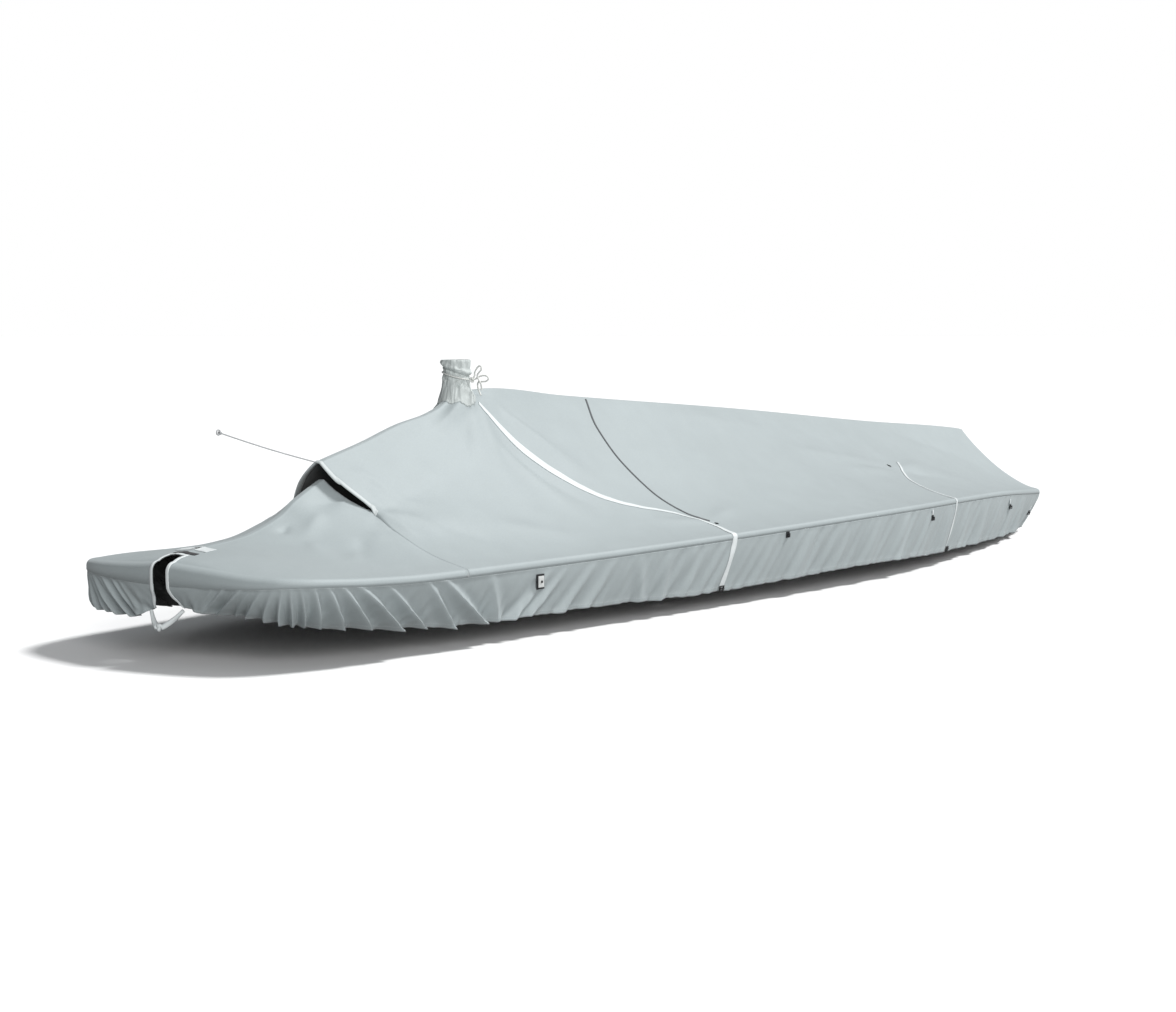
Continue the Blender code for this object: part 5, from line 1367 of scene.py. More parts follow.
class Fitting:
    """A small hard fitting, modelled at its own axes (outward, along, up) and then set in its place."""

    def __init__(self, name: str, finish: Finish) -> None:
        """Name it and choose its finish."""
        self.name, self.finish = name, finish

    def block(self, size: Row, centre: Row = (0.0, 0.0, 0.0)) -> Piece:
        """Start from a box of that size."""
        bpy.ops.object.select_all(action="DESELECT")
        bpy.ops.mesh.primitive_cube_add(size=1.0, location=centre, scale=size)
        bpy.ops.object.transform_apply(location=True, rotation=True, scale=True)
        piece = bpy.context.active_object
        piece.data.materials.append(material_of(self.finish))
        return piece

    def push(self, piece: Piece, test: Callable[[Vector, Vector], bool], way: Row = (0, 0, 0),
             inset: float = 0.0, grow: float = 1.0) -> None:
        """Inset the faces that pass a test, extrude them and widen them.

        Args:
            piece: The piece.
            test: Says for a face's centre and normal whether it is taken.
            way: Where the faces are pushed to.
            inset: How far they are inset first.
            grow: How much they are scaled afterwards.
        """
        only(piece)
        bpy.ops.object.mode_set(mode="EDIT")
        bpy.ops.mesh.select_mode(type="FACE")
        bpy.ops.mesh.select_all(action="DESELECT")
        shape = bmesh.from_edit_mesh(piece.data)
        for face in shape.faces:
            face.select_set(bool(test(face.calc_center_median(), face.normal)))
        bmesh.update_edit_mesh(piece.data)
        if inset:
            bpy.ops.mesh.inset(thickness=inset)
        if any(way):
            bpy.ops.mesh.extrude_region_move(TRANSFORM_OT_translate={"value": way})
        if grow != 1.0:
            bpy.ops.transform.resize(value=(grow, grow, grow))
        bpy.ops.object.mode_set(mode="OBJECT")

    def divide(self, piece: Piece, cuts: int) -> None:
        """Subdivide all faces evenly."""
        only(piece)
        bpy.ops.object.mode_set(mode="EDIT")
        bpy.ops.mesh.select_all(action="SELECT")
        bpy.ops.mesh.subdivide(number_cuts=cuts)
        bpy.ops.object.mode_set(mode="OBJECT")

    def dome(self, centre: Row, size: Row) -> Piece:
        """A rivet head or a stud: a half-sunk flattened ball with a dimple.

        Args:
            centre: Its middle.
            size: Its size.

        Returns:
            The head.
        """
        bpy.ops.object.select_all(action="DESELECT")
        bpy.ops.mesh.primitive_uv_sphere_add(segments=16, ring_count=8, radius=0.5, location=centre,
                                             rotation=(0, math.pi / 2, 0))
        piece = bpy.context.active_object
        bpy.ops.object.transform_apply(location=False, rotation=True, scale=False)
        piece.scale = size
        bpy.ops.object.transform_apply(location=True, rotation=True, scale=True)
        piece.data.materials.append(material_of(self.finish))
        top = centre[0] + size[0] * 0.40
        self.push(piece, lambda middle, normal: middle.x > top, way=(-size[0] * 0.14, 0, 0))
        return piece

    def soften(self, piece: Piece, width: float, segments: int = 2) -> None:
        """Round the edges off."""
        edge = piece.modifiers.new("Edge", "BEVEL")
        edge.width = width
        edge.segments = segments
        edge.limit_method = "ANGLE"
        edge.angle_limit = math.radians(35)
        apply_all(piece)
        only(piece)
        bpy.ops.object.shade_smooth_by_angle(angle=math.radians(38))

    def cut(self, piece: Piece, size: Row, centre: Row) -> None:
        """Cut a box-shaped slot."""
        cutter = self.block(size, centre)
        slot = piece.modifiers.new("Slot", "BOOLEAN")
        slot.operation = "DIFFERENCE"
        slot.object = cutter
        apply_all(piece)
        bpy.data.objects.remove(cutter, do_unlink=True)

    def set_in_place(self, piece: Piece, centre: Vector, axes: tuple[Vector, ...], slot: str) -> None:
        """Carry the finished piece to its place, with its faces outwards, for the node of its name."""
        turned = Matrix(axes).transposed()
        piece.data.transform(Matrix.Translation(centre) @ turned.to_4x4())
        if turned.determinant() < 0:
            piece.data.flip_normals()
        piece.name = piece.data.name = self.name + "_fitted"
        ride_on(piece, slot, self.name)


def hook_shape(fitting: Fitting) -> Piece:
    """A riveted plate with a horn that stands out and turns down.

    Args:
        fitting: The hook that it is for.

    Returns:
        The hook at its own axes.
    """
    deep, wide, tall = HOOK_SIZE
    plate = deep * 0.32
    piece = fitting.block((plate, wide, tall), (-deep / 2 + plate / 2, 0.0, 0.0))
    fitting.divide(piece, 3)
    face = -deep / 2 + plate
    fitting.push(piece, lambda middle, normal: normal.x > 0.9 and abs(middle.y) < wide * 0.3 and middle.z > 0
                 and middle.z < tall * 0.3, way=(deep * 0.36, 0, 0))
    fitting.push(piece, lambda middle, normal: normal.x > 0.9 and middle.x > face + deep * 0.3,
                 way=(deep * 0.30, 0, 0))
    fitting.push(piece, lambda middle, normal: normal.z < -0.9 and middle.x > face + deep * 0.4,
                 way=(0, 0, -tall * 0.36))
    fitting.push(piece, lambda middle, normal: normal.z < -0.9 and middle.x > face + deep * 0.4
                 and middle.z < 0, way=(deep * 0.02, 0, -tall * 0.06), grow=0.7)
    fitting.soften(piece, 0.0010)
    heads = [fitting.dome((face, 0.0, high), RIVET) for high in (tall * 0.40, -tall * 0.38)]
    return joined(fitting.name, [piece, *heads])


def buckle_shape(fitting: Fitting) -> Piece:
    """A ladder buckle: a frame with two slots and a raised bar between them.

    Args:
        fitting: The buckle that it is for.

    Returns:
        The buckle at its own axes.
    """
    deep, wide, tall = BUCKLE_SIZE
    piece = fitting.block((deep * 0.5, wide, tall), (-deep * 0.25, 0.0, 0.0))
    fitting.push(piece, lambda middle, normal: normal.x > 0.9, way=(deep * 0.10, 0, 0), inset=0.0022)
    for high in (tall * 0.22, -tall * 0.22):
        fitting.cut(piece, (deep * 2, wide * 0.68, tall * 0.19), (0.0, 0.0, high))
    fitting.soften(piece, 0.0008)
    bar = fitting.block((deep * 0.45, wide * 0.84, tall * 0.17), (deep * 0.22, 0.0, 0.0))
    fitting.push(bar, lambda middle, normal: normal.x > 0.9, way=(deep * 0.05, 0, 0), inset=0.0010)
    fitting.soften(bar, 0.0009)
    tongue = fitting.block((deep * 0.28, wide * 0.46, tall * 0.20), (deep * 0.12, 0.0, -tall * 0.40))
    fitting.push(tongue, lambda middle, normal: normal.z < -0.9, way=(0, 0, -tall * 0.02), grow=0.8)
    fitting.soften(tongue, 0.0007)
    return joined(fitting.name, [piece, bar, tongue])


def plate_shape(fitting: Fitting, size: Row, border: float, sink: float) -> Piece:
    """A rounded plate with a border round a field that is sunk or raised."""
    piece = fitting.block(size)
    fitting.push(piece, lambda middle, normal: normal.x > 0.9, way=(sink, 0, 0), inset=border)
    fitting.soften(piece, 0.0006, 3)
    return piece


def loop_shape(fitting: Fitting) -> Piece:
    """A short webbing loop: it lies flat at its sewn end and stands off a little at its bight.

    Args:
        fitting: The loop that it is for.

    Returns:
        The loop at its own axes.
    """
    deep, wide, tall = LOOP_SIZE
    piece = fitting.block(LOOP_SIZE)
    fitting.divide(piece, 7)
    for vertex in piece.data.vertices:
        share = vertex.co.z / tall + 0.5
        vertex.co.x += deep * 0.55 * math.sin(math.pi * min(1.0, share * 1.2)) * (1 - share * 0.4)
        vertex.co.y *= 1 - 0.16 * math.sin(math.pi * share)
    fitting.soften(piece, 0.0004)
    return piece


@dataclass
class Trims:
    """Tapes, corded seam and fittings of one side."""

    side: Side
    drape: Drape
    closures: list[Closure] = field(default_factory=list)
    pieces: list[Piece] = field(default_factory=list)

    def skirt_depth(self, run: float) -> float:
        """Depth of the skirt from its seam to its hem."""
        return float(RIM_LINE.seam(run) - smooth(HEM[:, 0], HEM[:, 1], run))

    def frame(self, run: float, depth: float) -> tuple[Vector, tuple[Vector, ...]]:
        """A place on the skirt below its seam, and the directions there: outward, aft, up.

        Args:
            run: Distance along the rim.
            depth: Distance below the seam.

        Returns:
            The place and the directions.
        """
        share = depth / self.skirt_depth(run)
        normal_aft, normal_out = RIM_LINE.spot(run)[2:]
        level = Vector((normal_aft, self.side.value * normal_out, 0)).normalized()
        middle, above, below = (skirt_point(self.side, run, at)
                                for at in (share, max(share - 0.1, 0.0), share + 0.1))
        sideways = level.cross(UP)
        up = above - below
        up = (up - sideways * up.dot(sideways)).normalized()
        aft = level.cross(up).normalized()
        return middle, (up.cross(aft).normalized(), aft, up)

    def fit_hooks(self) -> None:
        """The hooks, each with its webbing loop where it has one."""
        for index, (run, depth, looped) in enumerate(HOOKS, start=1):
            centre, axes = self.frame(run, depth)
            hook = Fitting(f"hook_{self.side.label}_{index}", BLACK)
            seated = self.drape.seat(centre, HOOK_SIZE, axes)
            hook.set_in_place(hook_shape(hook), seated, axes, "black_plastic")
            if looped:
                loop = Fitting(f"hook_loop_{self.side.label}_{index}", TAPE)
                above = centre + axes[2] * (HOOK_SIZE[2] + LOOP_SIZE[2] + LOOP_GAP) / 2
                seated = self.drape.seat(above, LOOP_SIZE, axes)
                loop.set_in_place(loop_shape(loop), seated, axes, "white_tape")

    def fit_plate(self) -> None:
        """The pale plate in its dark frame, with its stud."""
        centre, axes = self.frame(*PLATE)
        where = self.drape.seat(centre, PLATE_SIZE, axes)
        for word, finish, slot, size, border, sink in (
                ("frame", BLACK, "black_plastic", PLATE_SIZE, PLATE_BORDER, PLATE_SINK),
                ("face", PALE, "pale_plastic", PLATE_FACE, FACE_BORDER, FACE_RISE)):
            layer = Fitting(f"plate_{word}_{self.side.label}", finish)
            layer.set_in_place(plate_shape(layer, size, border, sink), where, axes, slot)
            where = where + axes[0] * ((size[0] + PLATE_FACE[0]) / 2 + SEAM_GAP)
        where = where + axes[0] * (PLATE_STUD[0] - PLATE_FACE[0]) / 2
        stud = Fitting("plate_stud_" + self.side.label, BLACK)
        head = stud.dome((0.0, 0.0, 0.0), PLATE_STUD)
        stud.soften(head, 0.0004)
        stud.set_in_place(head, where, axes, "black_plastic")

    def fit_buckle(self, closure: Closure, tape: Piece, name: str) -> None:
        """The buckle at the hem end of a tape."""
        run = closure.down[1]
        centre, axes = self.frame(run, self.skirt_depth(run) - BUCKLE_UP)
        skirt = bpy.data.objects["skirt_cloth_" + self.side.label]
        over = Drape([Drape.faces_of(tape), Drape.faces_of(skirt)])
        seated = over.seat(centre, BUCKLE_SIZE, axes, TAPE_THICK + SEAT_GAP)
        buckle = Fitting(name, BLACK)
        buckle.set_in_place(buckle_shape(buckle), seated, axes, "black_plastic")

    def build(self) -> None:
        """Lay the tapes and fit the hardware."""
        label = self.side.label
        side_tape = Closure("side_tape_" + label, self.side, SIDE_TAPE, TAPE, "white_tape", SIDE_TAPE_DOWN)
        self.closures = [side_tape]
        self.pieces = [side_tape.build(self.drape)]
        self.fit_buckle(side_tape, self.pieces[0], "side_buckle_" + label)
        if self.side is Side.PORT:
            rear_tape = Closure("rear_tape_port", self.side, REAR_TAPE, TAPE, "white_tape", REAR_TAPE_DOWN)
            self.closures.append(rear_tape)
            self.pieces.append(rear_tape.build(self.drape))
            self.fit_buckle(rear_tape, self.pieces[1], "rear_buckle_port")
        cord = Closure("corded_seam_" + label, self.side, CORDED_SEAM, DARK, "dark_cord",
                       offsets=(-0.5, -0.34, -0.16, 0.0, 0.16, 0.34, 0.5),
                       crown=(-0.0008, 0.0002, 0.0018, 0.0025, 0.0018, 0.0002, -0.0008), thickness=0.0012)
        self.pieces.append(cord.build(self.drape))
        routes = [route for closure in self.closures for route in closure.stitches(self.drape)]
        stitches = stitch_mesh("tape_stitches_" + label, routes, TAPE_STITCH, FINE_THREAD)
        self.pieces.append(ride_on(stitches, "white_tape"))
        self.fit_hooks()
        self.fit_plate()


@dataclass
class BowTrims:
    """The slot patch, the strap ahead of it, the notch binding and the hem tie under the bow."""

    drape: Drape
    patch: Row = (0.185, 0.012, 0.052, 0.150)
    strap: Row = (0.118, -0.010, 0.022, 0.105)
    binding: float = 0.013
    nose: Row = (0.047, 0.020)
    knot: Point = (-0.004, 0.0, -0.148)
    knot_gap: float = 0.013
    knot_size: Row = (0.0272, 0.0374, 0.0306)
    knot_cord: float = 0.0150
    hem_strap: float = 0.0198
    hem_sag: float = 0.006
    pieces: list[Piece] = field(default_factory=list)

    def laid(self, name: str, size: Row, finish: Finish, slot: str) -> Piece:
        """A patch that lies on the bow panel, a little thicker inside its edge.

        Args:
            name: The node that it stands for.
            size: Its place and size: aft, out, long, wide.
            finish: Its finish.
            slot: Its material slot.

        Returns:
            The patch.
        """
        aft, out, long, wide = size
        rows, columns = np.linspace(-0.5, 0.5, 19), np.linspace(-0.5, 0.5, 47)
        grid = np.empty((len(rows), len(columns), 3))
        for row, ahead in enumerate(rows):
            for column, aside in enumerate(columns):
                inside = min((0.5 - abs(ahead)) * long, (0.5 - abs(aside)) * wide)
                lift = TAPE_LIFT + 0.0005 * float(ramp(inside / 0.003))
                grid[row, column] = self.drape.below(aft + long * ahead, out + wide * aside, lift)
        piece = sheet_mesh(name + "_sewn", grid, finish, TAPE_THICK, flip=True, outwards=True)
        if name == "slot_patch":
            cut_upright(piece, [BOW_SLOT])
        return ride_on(piece, slot, name)

    def stitches(self) -> list[Grid]:
        """Rows round the patch, inside its edge and round its slot.

        Returns:
            The places along each row.
        """
        routes = []
        lift = TAPE_LIFT + TAPE_THICK + 0.0011
        middle_aft, middle_out = self.patch[:2]
        for half_aft, half_out in ((0.0225, 0.0715), (0.0180, 0.0235)):
            corners = [(half_aft * ahead, half_out * aside)
                       for ahead, aside in ((1, 1), (1, -1), (-1, -1), (-1, 1), (1, 1))]
            route = []
            for (start_aft, start_out), (end_aft, end_out) in zip(corners, corners[1:]):
                for share in np.linspace(0, 1, 16)[:-1]:
                    aft = middle_aft + start_aft + (end_aft - start_aft) * share
                    out = middle_out + start_out + (end_out - start_out) * share
                    route.append(self.drape.below(aft, out, lift))
            routes.append(as_grid(route))
        return routes

    def notch_side(self, side: Side) -> list[list[Vector]]:
        """Rows of the notch binding on one side, from the hem up to the head.

        Args:
            side: Which side.

        Returns:
            The rows.
        """
        edges = (0.0015, 0.0025, 0.0055, 0.0085, 0.0115, 0.0015 + self.binding)
        crown = (0.0, 0.0007, 0.0010, 0.0010, 0.0007, 0.0)
        both = list(zip(edges, crown))
        drape, value = self.drape, side.value
        rows = []
        for share in np.linspace(0.975, 0.06, 26):
            run = NOTCH_HALF + NOTCH_FLARE * share ** 2
            rows.append([drape.beside(side, run + edge, share, SKIRT_LIFT + lift) for edge, lift in both])
        start = place(self.nose[0], value * NOTCH_HALF, self.nose[1])
        for turn in range(92, 1, -4):
            way = Vector((-math.sin(math.radians(turn)), 0, math.cos(math.radians(turn))))
            rows.append([drape.hit(start + Vector((0, value * edge, 0)) + way * 0.2, -way, TAPE_LIFT + lift)
                         for edge, lift in both])
        for share in (0.2, 0.4, 0.6, 0.8, 1.0):
            aft = self.nose[0] + (NOTCH_AFT - self.nose[0]) * share
            rows.append([drape.below(aft + edge * share, value * (NOTCH_HALF + edge), TAPE_LIFT + lift)
                         for edge, lift in both])
        for share in (0.85, 0.6, 0.3):
            rows.append([drape.below(NOTCH_AFT + edge, value * NOTCH_HALF * share, TAPE_LIFT + lift)
                         for edge, lift in both])
        return rows

    def hem_tie(self) -> None:
        """The webbing that draws the lower corners of the notch together, and its knot."""
        knot = place(*self.knot)
        for side in Side:
            corner = skirt_point(side, NOTCH_HALF + NOTCH_FLARE + 0.012, 1.0, lift=0.010)
            corner += Vector((-0.002, 0, -0.006))
            end = knot + Vector((0.0, side.value * self.knot_gap, 0.0))
            route = slack_line(corner, end, self.hem_sag, 60)
            name = "hem_strap_" + side.label
            strap = tube_mesh(name + "_tied", route, self.hem_strap, TAPE, strands=2, lay=0.09, relief=0.34)
            ride_on(strap, "white_tape", name)
        upright = (Vector((1, 0, 0)), Vector((0, 1, 0)), UP)
        piece = knot_mesh("hem_knot_tied", knot, self.knot_size, upright, self.knot_cord, TAPE)
        ride_on(piece, "white_tape", "hem_knot")

    def build(self) -> None:
        """Lay the patch, the strap and the binding, and tie the hem."""
        self.pieces = [self.laid("slot_patch", self.patch, TAPE, "white_tape"),
                       self.laid("bow_strap", self.strap, WEBBING, "black_plastic")]
        rows = self.notch_side(Side.PORT) + self.notch_side(Side.STARBOARD)[::-1]
        columns = [filled(list(column)) for column in zip(*rows)]
        grid = np.array([as_grid(row) for row in zip(*columns)])
        binding = sheet_mesh("notch_binding_sewn", grid, TAPE, TAPE_THICK, outwards=True)
        self.pieces.append(ride_on(binding, "white_tape", "notch_binding"))
        stitches = stitch_mesh("patch_stitches", self.stitches(), PATCH_STITCH, FINE_THREAD)
        self.pieces.append(ride_on(stitches, "white_tape"))
        self.hem_tie()


@dataclass
class Vent:
    """The bound lip of the hood and the taut line that holds it up."""

    half: float = VENT_HALF + 0.030
    steps: int = 120
    # section of the binding: distance in from the lip, height over the cloth
    section: tuple[Row, ...] = (
        (0.014, 0.002), (0.0128, 0.003), (0.008, 0.0034), (0.003, 0.0034), (0.0002, 0.0026),
        (-0.0015, 0.0008), (-0.0018, -0.0012), (-0.0008, -0.0032), (0.0016, -0.0042), (0.01, -0.0046),
        (0.026, -0.004))
    binding_thickness: float = 0.0010
    line_end: Point = (0.302, 0.0, 0.501)
    line_cord: float = 0.005
    line_sag: float = 0.004
    line_lay: float = 0.012
    hitch_radius: float = 0.009
    # whipping at the hitch: length, radius, thickness, turns
    whipping: tuple[float, float, float, int] = (0.0105, 0.0042, 0.0034, 3)
    pieces: list[Piece] = field(default_factory=list)

    def surface(self, aft: float, out: float) -> Vector:
        """The cloth of the hood at a plan place."""
        high = FORM.drape(aft, out) + FORM.fine(aft, out) + FORM.hood(aft, out)
        return place(aft, out, float(high))

    def bind(self) -> None:
        """Fold the binding round the lip."""
        rows = []
        for out in np.linspace(-self.half, self.half, self.steps):
            lip = float(FORM.slit(out)) + VENT_GAP / 2 - VENT_OVERHANG * float(FORM.lip(out))
            edge = self.surface(lip, out)
            along = (self.surface(lip + 0.010, out) - edge).normalized()
            beside = self.surface(lip, out + 0.004) - self.surface(lip, out - 0.004)
            lift = along.cross(beside).normalized()
            rows.append(as_grid((self.surface(lip + inward, out) if inward > 0.001 else edge + along * inward)
                                + lift * high for inward, high in self.section))
        binding = sheet_mesh("vent_binding_sewn", np.array(rows), BINDING, self.binding_thickness, flip=True)
        self.pieces.append(ride_on(binding, "light_binding", "vent_binding"))

    def hitch(self, end: Vector, along: Vector) -> Piece:
        """The ring of line at the far end, and its whipping.

        Args:
            end: The end of the line.
            along: The direction of the line there.

        Returns:
            The hitch.
        """
        beside = Vector((0, 1, 0))
        other = along.cross(beside).normalized()
        centre = end + along * (self.hitch_radius + self.line_cord / 2 + SEAM_GAP * 3)
        ring = as_grid(centre + (along * math.cos(turn) + other * math.sin(turn)) * self.hitch_radius
                       for turn in np.linspace(0, math.tau, 61)[:-1])
        loop = tube_mesh("vent_hitch_ring", ring, self.line_cord, THIN_LINE, closed=True, lay=self.line_lay)
        length, radius, thickness, turns = self.whipping
        coil = as_grid(end + along * (length - length * turn / turns)
                       + (other * math.cos(math.tau * turn) + beside * math.sin(math.tau * turn)) * radius
                       for turn in np.linspace(0, turns, 61))
        wound = tube_mesh("vent_whipping", coil, thickness, THIN_LINE, sides=8)
        return ride_on(joined("vent_hitch_tied", [loop, wound]), "light_line", "vent_hitch")

    def build(self) -> None:
        """Bind the lip and set the line."""
        self.bind()
        aft = VENT_AFT - VENT_OVERHANG
        lip = float(FORM.drape(aft, 0.0) + FORM.hood(aft, 0.0))
        start, end = place(aft - 0.010, 0.0, lip + 0.004), place(*self.line_end)
        route = slack_line(start, end, self.line_sag, 110)
        line = tube_mesh("vent_line_taut", route, self.line_cord, THIN_LINE, sides=10, lay=self.line_lay)
        ride_on(line, "light_line", "vent_line")
        hitch = self.hitch(end, (end - start).normalized())


@dataclass
class Collar:
    """The gathered sleeve, its drawcord, the knot and the two tie ends."""

    drape: Drape
    sides: int = 200
    rows: int = 74
    pleat: float = 0.0016
    thickness: float = 0.0018
    # the fold of cloth over the cord: height at the knot, on the far side, how far it stands out, half width
    band: Row = (0.082, 0.122, 0.0066, 0.0090)
    piece: Piece | None = None

    def ring_height(self, near: float, far: float, angle: Grid | float) -> Grid:
        """Height of a slanting line round the sleeve."""
        return near + (far - near) * (1 - np.cos(angle - KNOT_ANGLE)) / 2

    def sleeve(self, angle: Grid, row: float) -> tuple[Grid, Grid]:
        """Radius and height of a row of the sleeve at angles round it.

        Args:
            angle: The angles.
            row: The row of COLLAR_ROWS, with its fraction.

        Returns:
            The radii and the heights.
        """
        index = np.arange(len(COLLAR_ROWS))
        near, far, radius = (float(smooth(index, COLLAR_ROWS[:, column], row)) for column in range(3))
        high = self.ring_height(near, far, angle)
        cord = high - self.ring_height(*DRAWCORD[:2], angle)
        drawn = np.exp(-(cord / 0.011) ** 2)
        pattern = (np.sin(9 * angle + 62 * high + 0.8 * np.sin(3 * angle))
                   + 0.6 * np.sin(17 * angle - 75 * high + 1.1)
                   + 0.3 * np.sin(31 * angle + 40 * high + 1.5 * np.sin(4 * angle)))
        reach = radius + self.pleat * pattern * (1 - 0.75 * drawn) - 0.0012 * drawn
        reach = reach + 0.0022 * np.sin(2 * angle + 0.9) * float(ramp(row - 3.5))
        near, far, stand, half = self.band
        above = high - self.ring_height(near, far, angle)
        reach = reach + stand * np.exp(-np.abs(above / half) ** 2.4)
        reach = reach - 0.0048 * np.exp(-((above + 0.0140) / 0.0036) ** 2)
        for start, start_high, end, end_high, wide, depth in SLEEVE_CREASES:
            run, rise = math.radians(end - start) * radius, end_high - start_high
            length = math.hypot(run, rise)
            offset = (angle - math.radians(start) + math.pi) % math.tau - math.pi
            along = (offset * radius * run + (high - start_high) * rise) / length ** 2
            beside = (offset * radius * rise - (high - start_high) * run) / length
            ends = ramp((along + 0.15) / 0.3) * ramp((1.15 - along) / 0.3)
            reach = reach + depth * ends * np.exp(-(beside / wide) ** 2)
        return reach - 0.0020 * float(ramp((row - 5.75) / 0.25)), high

    def sew(self) -> None:
        """Set the sleeve on the cloth."""
        angle = math.tau * (np.arange(self.sides) + 0.5) / self.sides
        rows = []
        for radius, lift in COLLAR_FOOT:
            reach = radius + 0.0007 * np.sin(23 * angle + 1.0) + 0.0006 * np.sin(37 * angle)
            rows.append(as_grid(self.drape.below(COLLAR_AFT + size * math.cos(turn), size * math.sin(turn),
                                                 lift + 0.0019) for size, turn in zip(reach, angle)))
        for row in np.linspace(0, len(COLLAR_ROWS) - 1, self.rows):
            reach, high = self.sleeve(angle, float(row))
            rows.append(np.stack((reach * np.cos(angle), reach * np.sin(angle), high), axis=1))
        # The sleeve takes the collar cloth, painted lighter than the cover's: painted light.
        sleeve = sheet_mesh("collar_sleeve", np.array(rows), PAINTED_LIGHT_SLEEVE, self.thickness, closed=True)
        self.piece = ride_on(sleeve, "collar_cloth", "collar")

    def lash(self) -> None:
        """Lay the drawcord round the sleeve and knot its two ends."""
        near, far, radius, cord = DRAWCORD
        gap = math.radians(4)
        swing = np.linspace(gap, math.tau - gap, 180)
        route = np.stack((radius * np.cos(KNOT_ANGLE + swing), radius * np.sin(KNOT_ANGLE + swing),
                          near + (far - near) * (1 - np.cos(swing)) / 2), axis=1)
        ride_on(tube_mesh("drawcord", route, cord, LINE), "light_line", "collar_drawcord")
        outward = Vector((math.cos(KNOT_ANGLE), math.sin(KNOT_ANGLE), 0))
        axes = (outward, Vector((-outward.y, outward.x, 0)), UP)
        centre = outward * KNOT_RADIUS + UP * near
        knot = knot_mesh("lashing_knot", centre, KNOT_SIZE, axes, TIE_CORD, LINE)
        ride_on(knot, "light_line", "collar_knot")
        for name, table in TIES.items():
            knots = [centre + outward * out + axes[1] * aside + UP * high for out, aside, high in table]
            route = route_through(knots, 150)
            tie = ride_on(tube_mesh(name + "_end", route, TIE_CORD, LINE), "light_line", name)

    def build(self) -> None:
        """Sew the sleeve on and lash it."""
        self.sew()
        self.lash()


@dataclass
class Seams:
    """Rows of stitches in the cover's own seams and hems."""

    ridge_out: float = 0.0065
    ridge_thread: Row = (0.009, 0.0014)     # length of a stitch with its gap, thickness of the thread
    skirt_thread: Row = (0.0085, 0.0011)
    skirt_rows: Row = (0.035, 0.915, 0.975)   # shares of the skirt's depth
    pieces: dict[str, Piece] = field(default_factory=dict)

    def ridge(self, out: float) -> Grid:
        """A row beside the ridge."""
        aft = np.linspace(VENT_AFT + 0.03, LENGTH - STERN_HOLLOW - 0.02, 500)
        aft = aft[np.abs(aft - COLLAR_AFT) > 0.078]
        high = FORM.drape(aft, out) + FORM.fine(aft, out) + FORM.hood(aft, out)
        return np.stack((aft - COLLAR_AFT, np.full_like(aft, out), high - DATUM_DROP + 0.0003), axis=1)

    def build(self) -> None:
        """Sew the ridge, the skirt seams and the hems."""
        runs = np.linspace(NOTCH_HALF + 0.06, RIM_LINE.corner_run - STERN_SEAM - 0.004, 2400)
        for side in Side:
            ridge = self.ridge(side.value * self.ridge_out)
            parts = [ridge[ridge[:, 0] < 0], ridge[ridge[:, 0] > 0]]
            routes = [skirt_grid(side, runs, np.array([share]), lift=0.0004)[:, 0]
                      for share in self.skirt_rows]
            for word, rows, thread in (("ridge", parts, self.ridge_thread),
                                       ("skirt", routes, self.skirt_thread)):
                stitches = stitch_mesh(f"{word}_stitches_{side.label}", rows, *thread)
                self.pieces[f"{word}_{side.label}"] = ride_on(stitches, "cover_cloth")


def declare_cloths(trims: dict[Side, Trims],
                   vent: Vent, seams: Seams) -> None:
    """Gather, for each side, the pieces that lie on its top; nothing further is done with them.

    Args:
        trims: What is on each side.
        vent: The vent's binding.
        seams: The stitches.
    """
    for side in Side:
        over = [*trims[side].pieces, seams.pieces["ridge_" + side.label]]
        over += vent.pieces if side is Side.PORT else []


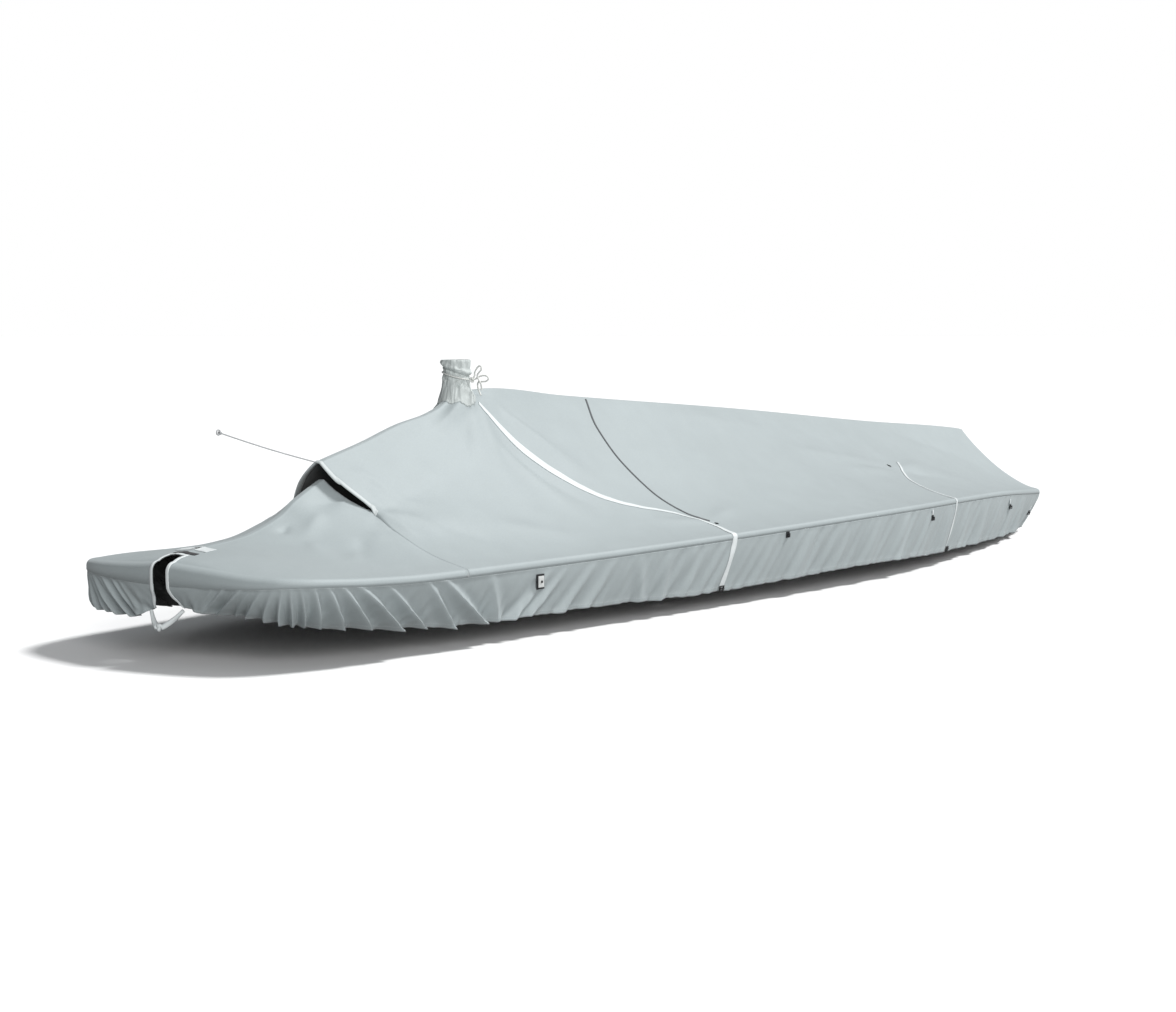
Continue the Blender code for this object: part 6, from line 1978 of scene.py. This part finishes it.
@dataclass
class Studio:
    """The floor, the light and the camera at the photograph's viewing angle."""

    floor_high: float = -0.885
    floor_reach: float = 80.0
    camera_at: Point = (-6.8225, -5.6023, 0.345)
    heading: float = 36.0
    pitch: float = 5.15
    lens: float = 67.96
    key_strength: float = 3.2
    key_softness: float = 12.0
    key_way: Point = (0.55, 0.08, 0.80)
    sky: float = 0.20
    sky_colour: tuple[float, float, float, float] = (0.93, 0.97, 1.0, 1.0)
    fill_strength: float = 2.1
    fill_softness: float = 35.0
    fill_way: Point = (0.32, -0.87, 0.22)

    def set_floor(self) -> None:
        """Lay the floor."""
        bpy.ops.object.select_all(action="DESELECT")
        bpy.ops.mesh.primitive_circle_add(vertices=96, radius=self.floor_reach, fill_type="NGON",
                                          location=(0, 0, self.floor_high))
        floor = bpy.context.active_object
        floor.name = "floor"
        bpy.ops.object.transform_apply()
        floor.data.materials.append(material_of(FLOOR))

    def set_camera(self, right: Vector, ahead: Vector) -> None:
        """Set the camera up.

        Args:
            right: The direction to its right.
            ahead: The direction that it looks in.
        """
        camera = bpy.data.objects.new("camera", bpy.data.cameras.new("camera"))
        camera.data.lens = self.lens
        camera.data.sensor_width = 36.0
        turned = Matrix((right, right.cross(ahead), -ahead)).transposed().to_4x4()
        camera.matrix_world = Matrix.Translation(self.camera_at) @ turned
        bpy.context.scene.collection.objects.link(camera)
        bpy.context.scene.camera = camera

    def set_suns(self, right: Vector, ahead: Vector) -> None:
        """Set the key and the fill, which come from beside the camera's view.

        Args:
            right: The direction to the camera's right.
            ahead: The direction that it looks in.
        """
        for name, strength, softness, way in (
                ("key", self.key_strength, self.key_softness, self.key_way),
                ("fill", self.fill_strength, self.fill_softness, self.fill_way)):
            sun = bpy.data.objects.new(name, bpy.data.lights.new(name, "SUN"))
            sun.data.energy = strength
            sun.data.angle = math.radians(softness)
            toward = right * way[0] + ahead * way[1] + UP * way[2]
            sun.rotation_euler = toward.to_track_quat("Z", "Y").to_euler()
            bpy.context.scene.collection.objects.link(sun)

    def set_sky(self) -> None:
        """A white background that is seen, and a dim one that lights."""
        world = bpy.data.worlds.new("studio")
        world.use_nodes = True
        tree = world.node_tree
        seen = tree.nodes["Background"]
        seen.inputs["Color"].default_value = (1.0, 1.0, 1.0, 1.0)
        seen.inputs["Strength"].default_value = 1.0
        lit = add_node(tree, "Background", {"Color": self.sky_colour, "Strength": self.sky})
        path = add_node(tree, "LightPath", {})
        mix = add_node(tree, "MixShader", {"Fac": path.outputs["Is Camera Ray"], 1: lit.outputs["Background"],
                                           2: seen.outputs["Background"]})
        tree.links.new(mix.outputs["Shader"], tree.nodes["World Output"].inputs["Surface"])
        bpy.context.scene.world = world
        bpy.context.scene.view_settings.view_transform = "Standard"

    def build(self) -> None:
        """Set the scene."""
        self.set_floor()
        heading, pitch = math.radians(self.heading), math.radians(self.pitch)
        level = Vector((math.cos(heading), math.sin(heading), 0))
        right = Vector((level.y, -level.x, 0))
        ahead = level * math.cos(pitch) - Vector((0, 0, math.sin(pitch)))
        self.set_camera(right, ahead)
        self.set_suns(right, ahead)
        self.set_sky()


def main() -> None:
    """Build every piece and the studio."""
    logging.basicConfig(level=logging.INFO, format="%(name)s: %(message)s")
    Studio().build()
    panels = Panels()
    panels.build()
    skirts = Skirts()
    skirts.build()
    front = Drape([panels.cloths["bow"], *skirts.cloths.values()])
    trims = {side: Trims(side, Drape([panels.cloths[side.label], skirts.cloths[side.label]]))
             for side in Side}
    bow = BowTrims(front)
    vent = Vent()
    collar = Collar(Drape([panels.cloths[side.label] for side in Side]))
    for part in (*trims.values(), bow, vent, collar):
        part.build()
    seams = Seams()
    seams.build()
    declare_cloths(trims, vent, seams)


if __name__ == "__main__":
    main()
